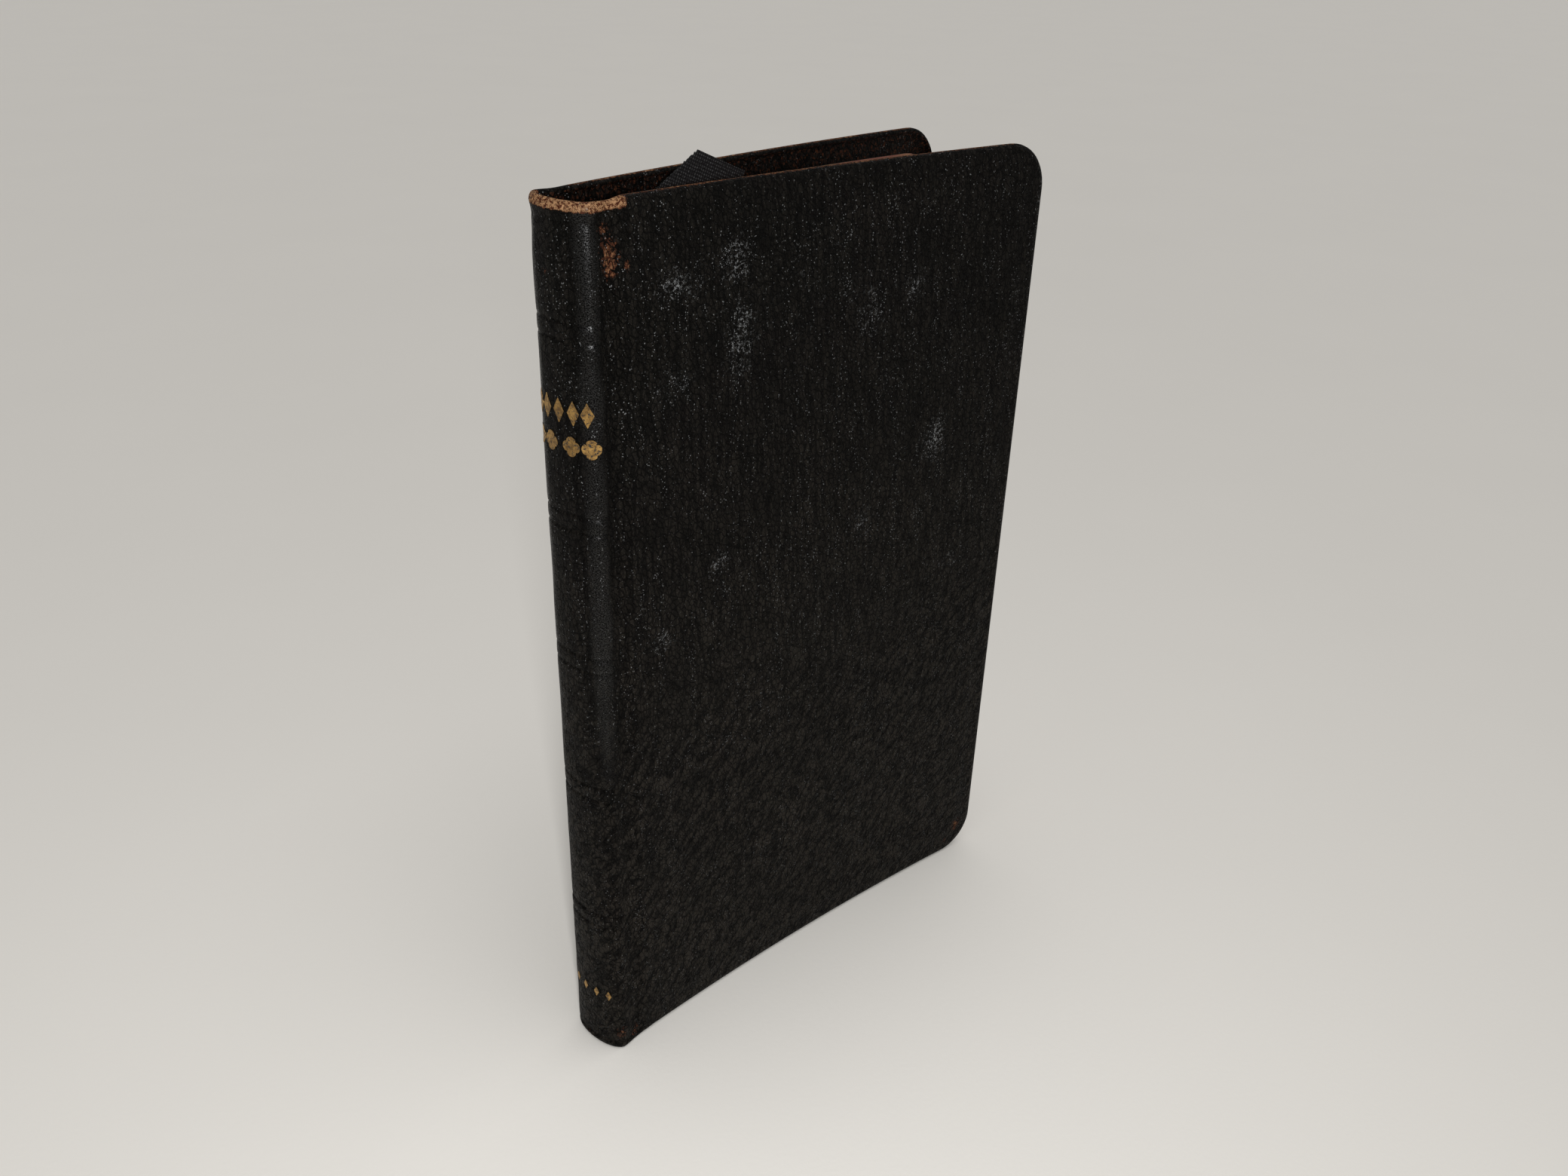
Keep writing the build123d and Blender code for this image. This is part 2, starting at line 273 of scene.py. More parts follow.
# ---------------------------------------------------------------- meshes
class Shape:
    """A mesh that is modelled flat in a bmesh, then wrapped on to the book and finished."""

    def __init__(self, numbers: Sequence[str] = (), vectors: Sequence[str] = ()) -> None:
        """Start with an empty bmesh that carries named numbers and vectors on its vertices."""
        self.bm = bmesh.new()
        for name in numbers:
            self.bm.verts.layers.float.new(name)
        for name in vectors:
            self.bm.verts.layers.float_vector.new(name)

    def numbers(self, name: str) -> Any:
        """The vertex layer of that name for single numbers."""
        return self.bm.verts.layers.float[name]

    def vectors(self, name: str) -> Any:
        """The vertex layer of that name for vectors."""
        return self.bm.verts.layers.float_vector[name]

    def lattice(self, across: Sequence[float], up: Sequence[float]) -> list[list[Any]]:
        """Add a flat grid whose lines lie at given stations.

        Args:
            across: Stations along X.
            up: Stations along Y.

        Returns:
            The new vertices, as rows of columns.
        """
        columns, rows = len(across) - 1, len(up) - 1
        made = bmesh.ops.create_grid(self.bm, x_segments=columns, y_segments=rows, size=1)["verts"]
        table = [[None] * len(across) for _ in up]
        for vert in made:
            column = round((vert.co.x + 1) / 2 * columns)
            row = round((vert.co.y + 1) / 2 * rows)
            vert.co = (across[column], up[row], 0)
            table[row][column] = vert
        return table

    def wrap(self, place: Callable[[Any], Vector]) -> None:
        """Move every vertex to where place puts it."""
        for vert in self.bm.verts:
            vert.co = place(vert)

    def finish(self, name: str, finish: "Finish", crease_degrees: float = 40.0) -> bpy.types.Object:
        """Merge, orient and scale the mesh, and make its object.

        Args:
            name: Name of the piece.
            finish: The finish that dresses it.
            crease_degrees: Edges that bend more than this stay sharp.

        Returns:
            The new object, at the origin.
        """
        bm = self.bm
        bmesh.ops.remove_doubles(bm, verts=bm.verts, dist=0.002)
        bmesh.ops.dissolve_degenerate(bm, edges=bm.edges, dist=0.001)
        bmesh.ops.recalc_face_normals(bm, faces=bm.faces)
        limit = math.radians(crease_degrees)
        for face in bm.faces:
            face.smooth = True
        for edge in bm.edges:
            edge.smooth = len(edge.link_faces) == 2 and edge.calc_face_angle(0.0) < limit
        bmesh.ops.scale(bm, vec=(MM, MM, MM), verts=bm.verts)
        mesh = bpy.data.meshes.new(name)
        bm.to_mesh(mesh)
        bm.free()
        mesh.materials.append(finish.material)
        piece = bpy.data.objects.new(name, mesh)
        bpy.context.scene.collection.objects.link(piece)
        LOG.info("%s: %d faces", name, len(mesh.polygons))
        return piece


# ---------------------------------------------------------------- shader maths
class Wire:
    """An output socket, on which arithmetic adds Math nodes."""

    def __init__(self, graph: "Graph", socket: bpy.types.NodeSocket) -> None:
        """Wrap a socket of a graph."""
        self.graph = graph
        self.socket = socket

    def __add__(self, other: "Wire | float") -> "Wire":
        """Sum."""
        return self.graph.math("ADD", self, other)

    def __radd__(self, other: float) -> "Wire":
        """Sum with a number on the left."""
        return self.graph.math("ADD", other, self)

    def __sub__(self, other: "Wire | float") -> "Wire":
        """Difference."""
        return self.graph.math("SUBTRACT", self, other)

    def __rsub__(self, other: float) -> "Wire":
        """Difference from a number."""
        return self.graph.math("SUBTRACT", other, self)

    def __mul__(self, other: "Wire | float") -> "Wire":
        """Product."""
        return self.graph.math("MULTIPLY", self, other)

    def fade(self, low: float, high: float) -> "Wire":
        """Ease from 0 to 1 as the value goes from low to high, or back if low is the larger."""
        start, end = (0.0, 1.0) if low < high else (1.0, 0.0)
        return self.graph.wire(
            "ShaderNodeMapRange",
            {"interpolation_type": "SMOOTHSTEP"},
            {0: self, 1: min(low, high), 2: max(low, high), 3: start, 4: end},
        )


class Graph:
    """The node graph of one material."""

    def __init__(self, name: str) -> None:
        """Make an empty material."""
        self.material = bpy.data.materials.new(name)
        self.material.use_nodes = True
        self.nodes = self.material.node_tree.nodes
        self.links = self.material.node_tree.links
        self.nodes.clear()

    def node(self, kind: str, settings: dict[str, Any], values: dict[Any, Any]) -> bpy.types.Node:
        """Add a node.

        Args:
            kind: Blender's name for the node's type.
            settings: The node's own settings; "stops" fills a ramp with (position, colour) pairs.
            values: What goes into its sockets, by name or number: wires, numbers, colours or vectors.

        Returns:
            The new node.
        """
        node = self.nodes.new(kind)
        for name, setting in settings.items():
            if name == "stops":
                self.fill_ramp(node.color_ramp, setting)
            else:
                setattr(node, name, setting)
        for name, value in values.items():
            socket = node.inputs[name]
            if isinstance(value, Wire):
                self.links.new(value.socket, socket)
            else:
                socket.default_value = value
        return node

    def fill_ramp(self, ramp: bpy.types.ColorRamp, stops: Sequence[tuple[float, Colour]]) -> None:
        """Give a ramp its stops, each a position and a colour."""
        while len(ramp.elements) < len(stops):
            ramp.elements.new(0.5)
        for element, (position, colour) in zip(ramp.elements, stops):
            element.position = position
            element.color = (*colour, 1.0)

    def wire(self, kind: str, settings: dict[str, Any], values: dict[Any, Any], out: Any = 0) -> Wire:
        """Add a node and take one of its outputs, by name or number."""
        return Wire(self, self.node(kind, settings, values).outputs[out])

    def math(self, operation: str, a: "Wire | float", b: "Wire | float" = 0.0) -> Wire:
        """Add a Math node."""
        return self.wire("ShaderNodeMath", {"operation": operation}, {0: a, 1: b})

    def most(self, a: Wire, b: "Wire | float") -> Wire:
        """The larger of two values."""
        return self.math("MAXIMUM", a, b)

    def mix(self, a: "Wire | Colour", b: "Wire | Colour", factor: Wire) -> Wire:
        """Mix two colours, each a wire or an RGB triple."""
        a, b = ((*c, 1.0) if isinstance(c, tuple) else c for c in (a, b))
        return self.wire("ShaderNodeMix", {"data_type": "RGBA"}, {0: factor, 6: a, 7: b}, 2)

    def vector(self, operation: str, a: Any, b: Any) -> Wire:
        """Add a Vector Math node."""
        return self.wire("ShaderNodeVectorMath", {"operation": operation}, {0: a, 1: b})

    def attribute(self, name: str, out: str = "Fac") -> Wire:
        """Read a mesh attribute, as Fac for a number or as Vector."""
        return self.wire("ShaderNodeAttribute", {"attribute_name": name}, {}, out)

    def objects(self, per_metre: float = 1000.0) -> Wire:
        """The piece's own coordinates, by default in millimetres."""
        coords = self.wire("ShaderNodeTexCoord", {}, {}, "Object")
        return self.vector("MULTIPLY", coords, (per_metre,) * 3)

    def stretch(self, coords: Wire, sizes: Colour, turn: float = 0.0) -> Wire:
        """Scale coordinates by a vector, after a turn about the third axis in degrees."""
        return self.wire(
            "ShaderNodeMapping",
            {"vector_type": "TEXTURE"},
            {"Vector": coords, "Rotation": (0, 0, math.radians(turn)), "Scale": sizes},
        )

    def noise(self, coords: Wire, scale: float, detail: float = 2.0, rough: float = 0.5) -> Wire:
        """Noise around 0.5."""
        values = {"Vector": coords, "Scale": scale, "Detail": detail, "Roughness": rough}
        return self.wire("ShaderNodeTexNoise", {}, values)

    def warp(self, coords: Wire, scale: float, amount: float) -> Wire:
        """Push coordinates about by a noise."""
        values = {"Vector": coords, "Scale": scale, "Detail": 2.0}
        colour = self.wire("ShaderNodeTexNoise", {}, values, "Color")
        push = self.vector("SUBTRACT", colour, (0.5, 0.5, 0.5))
        return self.vector("ADD", coords, self.vector("MULTIPLY", push, (amount,) * 3))

    def cells(self, coords: Wire, scale: float, feature: str = "DISTANCE_TO_EDGE") -> Wire:
        """Distance to the nearest cell border, or to the nearest cell middle for F1."""
        values = {"Vector": coords, "Scale": scale}
        return self.wire("ShaderNodeTexVoronoi", {"feature": feature}, values, "Distance")

    def ridges(self, value: Wire, width: float) -> Wire:
        """Thin winding lines where a noise passes through its middle."""
        return self.math("ABSOLUTE", value - 0.5).fade(width, 0.0)

    def height(self, coords: Wire) -> Wire:
        """The second coordinate by itself, which is the height above the tail edge on the hide."""
        return self.wire("ShaderNodeSeparateXYZ", {}, {0: coords}, 1)

    def bands(self, coords: Wire, scale: float, direction: str, distortion: float = 0.0) -> Wire:
        """Sine bands between 0 and 1 across one axis."""
        settings = {"wave_type": "BANDS", "bands_direction": direction, "wave_profile": "SIN"}
        values = {"Vector": coords, "Scale": scale, "Distortion": distortion, "Detail": 1.0}
        return self.wire("ShaderNodeTexWave", settings, values, "Fac")

    def bump(self, height: Wire) -> Wire:
        """Surface relief from a height in millimetres."""
        values = {"Height": height, "Distance": MM, "Strength": 1.0}
        return self.wire("ShaderNodeBump", {}, values, "Normal")

    def surface(self, values: dict[str, Any]) -> bpy.types.Material:
        """End the graph in a Principled shader.

        Args:
            values: What its sockets get; numbers that are the same all over stay plain values.

        Returns:
            The finished material.
        """
        shader = self.node("ShaderNodeBsdfPrincipled", {}, values)
        self.node("ShaderNodeOutputMaterial", {}, {"Surface": Wire(self, shader.outputs[0])})
        return self.material


# ---------------------------------------------------------------- finishes
@dataclass(frozen=True)
class Finish:
    """A finish of the book: its name, and its material made once."""

    name: str

    @cached_property
    def material(self) -> bpy.types.Material:
        """The finish's material."""
        return self.build(Graph(self.name))

    def build(self, g: Graph) -> bpy.types.Material:
        """Make the material in a new graph."""
        raise NotImplementedError


@dataclass(frozen=True)
class GrainedLeather(Finish):
    """Black grained leather that is worn to its tan body at the edges and has lint in its grain, with painted
    shade, highlights and light in its colour.

    The "hide" attribute holds the place along and up the hide in millimetres, and "wear", "polish"
    and "dust" say where it is rubbed bare (or painted lighter as painted light), glossy from handling, and
    linty.
    """

    black: Colour = (0.0165, 0.0145, 0.0120)
    # brown of the leather's random patches, also used for the painted light towards the bottom
    brown: Colour = (0.0245, 0.0208, 0.0168)
    # painted shade: the colour that the grain's creases and wrinkles sink to
    painted_shade: Colour = (0.0010, 0.0009, 0.0008)
    rubbed: Colour = (0.085, 0.022, 0.009)
    tan: Colour = (0.40, 0.225, 0.115)
    lint: Colour = (0.34, 0.35, 0.355)
    pebble: float = 0.95  # cells per millimetre
    relief: float = 0.30  # millimetres
    sheen: float = 0.035  # specular level of the dull leather
    polish_roughness: float = 0.36
    upright_to: float = 100.0  # the folds stand upright above this height
    slanted_from: float = 60.0  # and slant below this one
    # painted light makes the leather paler from dark_to down to pale_from
    dark_to: float = 150.0  # the leather is darkest above this height
    pale_from: float = 10.0

    def linty(self, g: Graph, hide: Wire, lanes: Wire, dust: Wire, sharp: Wire) -> Wire:
        """Lint in the grain.

        Args:
            g: The material's graph.
            hide: Place on the hide.
            lanes: 1 along the upright folds, in which specks gather.
            dust: How linty the hide is there.
            sharp: How open the grain is there.

        Returns:
            1 on a speck or a curled fibre, 0 beside it.
        """
        motes = g.cells(g.warp(hide, 1.0, 0.6), 2.3, "F1").fade(0.30, 0.14)
        motes = motes * (g.noise(hide, 1.9, 2.0) + lanes + dust * 0.1).fade(0.64, 0.72)
        fibres = g.most(
            g.ridges(g.noise(g.warp(hide, 0.8, 1.0), 0.75, 2.0), 0.034),
            g.ridges(g.noise(g.warp(hide, 1.5, 0.8), 1.1, 2.0), 0.036),
        )
        snips = g.noise(hide, 1.6, 3.0, 0.6).fade(0.46, 0.56)
        broken = (g.noise(hide, 0.42, 5.0, 0.8) - 0.5) * 3.0
        cluster = (dust * 0.9 + broken).fade(0.3, 1.1) * dust.fade(0.02, 0.3)
        return g.most(cluster * fibres * snips * 0.85, motes * (0.55 + cluster * 0.45) * sharp)

    def build(self, g: Graph) -> bpy.types.Material:
        """Make the material in a new graph."""
        hide = g.attribute("hide", "Vector")
        wear_and_painted_light, polish, dust = (g.attribute(name) for name in ("wear_and_painted_light", "polish", "dust"))
        drift = g.warp(hide, 0.35, 1.3)
        low_half = g.height(g.warp(hide, 0.03, 50.0)).fade(self.upright_to, self.slanted_from)
        # Painted light: 1 up to pale_from, easing to 0 at dark_to, which paints the lower leather paler and
        # browner.
        painted_bottom_light = g.height(hide).fade(self.dark_to, self.pale_from)
        sharp = 1.0 - low_half * 0.45

        crease = g.cells(g.stretch(drift, (0.8, 1.3, 1.0), 12), self.pebble).fade(0.15, 0.0)
        fine_crease = g.cells(g.warp(hide, 1.4, 0.5), 2.4).fade(0.14, 0.0)
        upright = g.noise(g.stretch(drift, (0.9, 7.0, 1.0), 3), 0.9, 3.0, 0.55)
        slanted = g.noise(g.stretch(drift, (0.95, 2.8, 1.0), -40), 0.6, 3.0, 0.5)
        folds = upright * (1.0 - low_half) + slanted * low_half
        tooth = g.noise(hide, 4.5, 4.0, 0.65)
        wrinkle = g.ridges(g.noise(g.stretch(drift, (1.0, 2.4, 1.0), -32), 0.48, 2.0, 0.5), 0.09)
        wrinkle = wrinkle * (low_half * 0.8 + 0.2) * g.noise(hide, 0.5, 2.0).fade(0.3, 0.55)
        grooves = (crease * -0.55 + fine_crease * -0.25) * sharp - wrinkle * 1.1
        height = (grooves + folds * 0.9 + tooth * 0.3) * self.relief * (1.0 + polish * 0.5)

        patches = g.noise(hide, 0.045, 3.0)
        # Painted shade and highlight in the grain: the colour sinks towards the painted shade colour in the
        # creases, the fine creases and the wrinkles, and is lighter on the fold tops and the raised tooth. It
        # is also paler towards the bottom, as painted light, and darker on the polished shoulders.
        painted_relief_shading = (1.0 - crease * 0.85) * (1.0 - fine_crease * 0.5) * (folds.fade(0.40, 0.62) * 0.7 + 0.3)
        painted_relief_shading = painted_relief_shading * (0.55 + tooth * 0.9) * (0.70 + painted_bottom_light * 1.1) * (1.0 - polish * 0.85)
        painted_relief_shading = painted_relief_shading * (1.0 - wrinkle * 0.85)
        # The body is brown in random patches, which are real colour, and towards the bottom, which is painted
        # light.
        body = g.mix(self.black, self.brown, patches.fade(0.35, 0.7) * 0.5 + painted_bottom_light * 0.6)
        colour = g.mix(self.painted_shade, body, painted_relief_shading)

        # The wear attribute also carries painted light, on the top edges and on the turn-in, which comes out
        # here as bare rubbed brown and tan.
        blotches = g.noise(hide, 1.1, 5.0, 0.7)
        scuffing = wear_and_painted_light + (blotches - 0.5) * 0.85 - crease * 0.16
        bare = scuffing.fade(0.40, 0.62) * wear_and_painted_light.fade(0.02, 0.15)
        specks = g.noise(hide, 1.5, 5.0, 0.75).fade(0.47, 0.55)
        stops = [(0.0, self.black), (0.45, self.rubbed), (0.85, self.tan), (1.0, self.tan)]
        rubbing = wear_and_painted_light * (1.0 - specks * 0.6) + (blotches - 0.5) * 0.35
        colour = g.mix(colour, g.wire("ShaderNodeValToRGB", {"stops": stops}, {0: rubbing}), bare)
        rust = g.noise(hide, 2.2, 6.0, 0.75).fade(0.60, 0.72) * (crease * 0.7 + 0.3)
        colour = g.mix(colour, self.rubbed, rust * (0.18 - low_half * 0.14))

        lanes = g.ridges(g.noise(g.stretch(drift, (1.0, 12.0, 1.0), 3), 0.38, 1.0), 0.06)
        lint = self.linty(g, hide, lanes * 0.16 + patches * 0.1, dust, sharp)
        gloss = g.noise(hide, 0.5, 4.0, 0.6)
        glints = g.noise(hide, 3.2, 3.0, 0.6).fade(0.56, 0.66) * sharp
        coat = polish.fade(0.3, 0.8) * tooth.fade(0.46, 0.56) * 0.8 + glints * 0.12
        dulling = crease * 0.14 + (gloss - 0.5) * 0.3 + bare * 0.25 + lint * 0.3
        return g.surface(
            {
                "Base Color": g.mix(colour, self.lint, lint),
                "Roughness": 0.42 + dulling - polish * 0.1,
                "Specular IOR Level": self.sheen,
                "Coat Weight": coat * (1.0 - bare * 0.7),
                "Coat Roughness": self.polish_roughness,
                "Normal": g.bump(height),
            }
        )


@dataclass(frozen=True)
class BlackPaper(Finish):
    """Black endpaper, rubbed grey-brown in places."""

    black: Colour = (0.012, 0.010, 0.0095)
    worn: Colour = (0.036, 0.026, 0.020)

    def build(self, g: Graph) -> bpy.types.Material:
        """Make the material in a new graph."""
        coords = g.objects()
        fibre = g.noise(g.stretch(coords, (1.0, 1.0, 0.4)), 3.0, 6.0, 0.7)
        cloud = g.noise(coords, 0.06, 4.0, 0.6)
        rub = (g.noise(coords, 0.35, 6.0, 0.75) + cloud * 0.6).fade(0.78, 1.0)
        colour = g.mix(self.black, self.worn, rub * 0.6 + fibre * 0.25)
        return g.surface(
            {
                "Base Color": colour,
                "Roughness": 0.62 + (fibre - 0.5) * 0.25 + rub * 0.1,
                "Specular IOR Level": 0.3,
                "Normal": g.bump(fibre * 0.03 + cloud * 0.12),
            }
        )


@dataclass(frozen=True)
class PageStock(Finish):
    """Thin printing paper, toned at its borders, with stained and gilded edges.

    The "leaf" attribute holds the place in the section: along, up, and across its thickness. The
    "edge" attribute is 1 on the cut edges and 0 on the leaves' faces.
    """

    paper: Colour = (0.70, 0.61, 0.45)
    toned: Colour = (0.52, 0.38, 0.22)
    stain: Colour = (0.20, 0.038, 0.022)
    dark: Colour = (0.075, 0.022, 0.014)
    gold: Colour = (0.46, 0.27, 0.10)
    leaves: float = 0.05

    def build(self, g: Graph) -> bpy.types.Material:
        """Make the material in a new graph."""
        leaf = g.attribute("leaf", "Vector")
        edge = g.attribute("edge").fade(0.35, 0.65)
        border = g.attribute("border")
        fibre = g.noise(leaf, 2.2, 5.0, 0.7)
        foxing = g.noise(leaf, 0.16, 5.0, 0.7).fade(0.62, 0.78)
        face = g.mix(self.paper, self.toned, border.fade(9.0, 0.0) * 0.6 + foxing * 0.35 + fibre * 0.1)
        along = g.stretch(leaf, (40.0, 40.0, 0.12))
        streaks = g.noise(along, 1.0, 4.0, 0.7)
        leafing = g.noise(g.stretch(leaf, (90.0, 90.0, self.leaves)), 1.0, 2.0, 0.6)
        rubbed = g.noise(leaf, 0.11, 5.0, 0.7)
        gilded = (streaks * 0.5 + rubbed).fade(0.72, 0.86)
        cut = g.mix(self.stain, self.dark, leafing.fade(0.4, 0.7))
        cut = g.mix(cut, self.toned, (g.noise(leaf, 0.5, 5.0, 0.75) + streaks * 0.4).fade(0.86, 1.0) * 0.5)
        cut = g.mix(cut, self.gold, gilded * 0.75)
        return g.surface(
            {
                "Base Color": g.mix(face, cut, edge),
                "Roughness": 0.78 - edge * (0.16 + gilded * 0.22) + (fibre - 0.5) * 0.1,
                "Metallic": edge * gilded * 0.7,
                "Specular IOR Level": 0.35,
                "Normal": g.bump(leafing * edge * 0.05 + fibre * 0.008 * (1.0 - edge)),
            }
        )


@dataclass(frozen=True)
class WovenRibbon(Finish):
    """Black ribbon with a fine slanted weave, whose thread tops carry a painted sheen; its "weave" attribute
    runs along and across it.
    """

    thread: Colour = (0.0045, 0.0045, 0.005)
    # painted sheen: the colour painted on the thread tops of the black ribbon
    light: Colour = (0.085, 0.085, 0.086)

    def build(self, g: Graph) -> bpy.types.Material:
        """Make the material in a new graph."""
        weave = g.attribute("weave", "Vector")
        cloth = g.bands(weave, 0.6, "X", 0.3) * g.bands(weave, 0.6, "Y", 0.3)
        fuzz = g.noise(weave, 2.5, 4.0, 0.7)
        # Painted sheen: the weave's thread tops are painted in the light colour.
        colour = g.mix(self.thread, self.light, cloth * fuzz.fade(0.4, 0.62))
        return g.surface(
            {
                "Base Color": colour,
                "Roughness": 0.56 + (fuzz - 0.5) * 0.3,
                "Specular IOR Level": 0.2,
                "Normal": g.bump(cloth * 0.07 + fuzz * 0.03),
            }
        )


@dataclass(frozen=True)
class GoldLeaf(Finish):
    """Gold leaf pressed into leather, dulled and partly rubbed away."""

    gold: Colour = (0.45, 0.27, 0.085)
    dull: Colour = (0.15, 0.085, 0.032)
    leather: Colour = (0.012, 0.009, 0.007)

    def build(self, g: Graph) -> bpy.types.Material:
        """Make the material in a new graph."""
        coords = g.objects()
        tarnish = g.noise(coords, 0.9, 5.0, 0.7)
        worn = g.noise(coords, 2.2, 5.0, 0.75).fade(0.53, 0.6)
        colour = g.mix(g.mix(self.gold, self.dull, tarnish.fade(0.35, 0.7)), self.leather, worn)
        return g.surface(
            {
                "Base Color": colour,
                "Metallic": (1.0 - worn) * 0.85,
                "Roughness": 0.38 + tarnish * 0.2 + worn * 0.15,
                "Normal": g.bump(g.noise(coords, 4.0, 4.0) * 0.06 - worn * 0.03),
            }
        )


@dataclass(frozen=True)
class Board(Finish):
    """Thin grey-brown card with flecks of fibre."""

    tint: Colour = (0.26, 0.19, 0.12)
    fleck: Colour = (0.10, 0.07, 0.045)

    def build(self, g: Graph) -> bpy.types.Material:
        """Make the material in a new graph."""
        coords = g.objects()
        fibre = g.noise(g.stretch(coords, (1.4, 1.4, 0.5)), 2.0, 6.0, 0.75)
        return g.surface(
            {
                "Base Color": g.mix(self.tint, self.fleck, fibre.fade(0.48, 0.7)),
                "Roughness": 0.75 + fibre * 0.15,
                "Normal": g.bump(fibre * 0.05),
            }
        )


@dataclass(frozen=True)
class OpenCloth(Finish):
    """Cloth of crossing threads, as for the mull, the bands or the sewing.

    Args:
        tint: Colour on top of the threads.
        gap: Colour between them.
        count: Threads per millimetre.
    """

    tint: Colour
    gap: Colour
    count: float

    def build(self, g: Graph) -> bpy.types.Material:
        """Make the material in a new graph."""
        coords = g.objects()
        warp = g.bands(coords, self.count / 2, "Z", 0.4)
        weft = g.bands(coords, self.count / 2, "DIAGONAL", 0.4)
        fuzz = g.noise(coords, 5.0, 4.0, 0.7)
        cloth = warp * 0.5 + weft * 0.5
        return g.surface(
            {
                "Base Color": g.mix(self.gap, self.tint, (cloth + fuzz * 0.4).fade(0.3, 0.9)),
                "Roughness": 0.7 + (fuzz - 0.5) * 0.2,
                "Normal": g.bump(cloth * 0.08 + fuzz * 0.03),
            }
        )


@dataclass(frozen=True)
class StudioPaper(Finish):
    """Smooth off-white paper for the floor."""

    tint: Colour = (0.82, 0.795, 0.75)

    def build(self, g: Graph) -> bpy.types.Material:
        """Make the material in a new graph."""
        coords = g.objects(1.0)
        mottle = g.noise(coords, 9.0, 5.0, 0.6)
        colour = g.mix(self.tint, tuple(part * 0.965 for part in self.tint), mottle)
        return g.surface(
            {
                "Base Color": colour,
                "Roughness": 0.62,
                "Specular IOR Level": 0.25,
                "Normal": g.bump(g.noise(coords, 900.0, 3.0) * 0.04),
            }
        )


LEATHER = GrainedLeather("grained_leather")
ENDPAPER = BlackPaper("black_endpaper")
PAGES = PageStock("page_stock")
RIBBON = WovenRibbon("woven_ribbon")
GILT = GoldLeaf("gold_leaf")


# ---------------------------------------------------------------- leather case
@dataclass(frozen=True)
class Spot:
    """A soft-edged patch on the hide: its middle, its reach each way and its strength."""

    u: float
    v: float
    reach_u: float
    reach_v: float
    strength: float = 1.0

    def at(self, u: float, v: float) -> float:
        """The patch's strength at a place."""
        far = ((u - self.u) / self.reach_u) ** 2 + ((v - self.v) / self.reach_v) ** 2
        return self.strength * math.exp(-far)


@dataclass(frozen=True)
class RimStep:
    """One line round the leather's edge: inset from the outline and depth, on a cover and on the spine."""

    cover_inset: float
    cover_depth: float
    spine_inset: float
    spine_depth: float


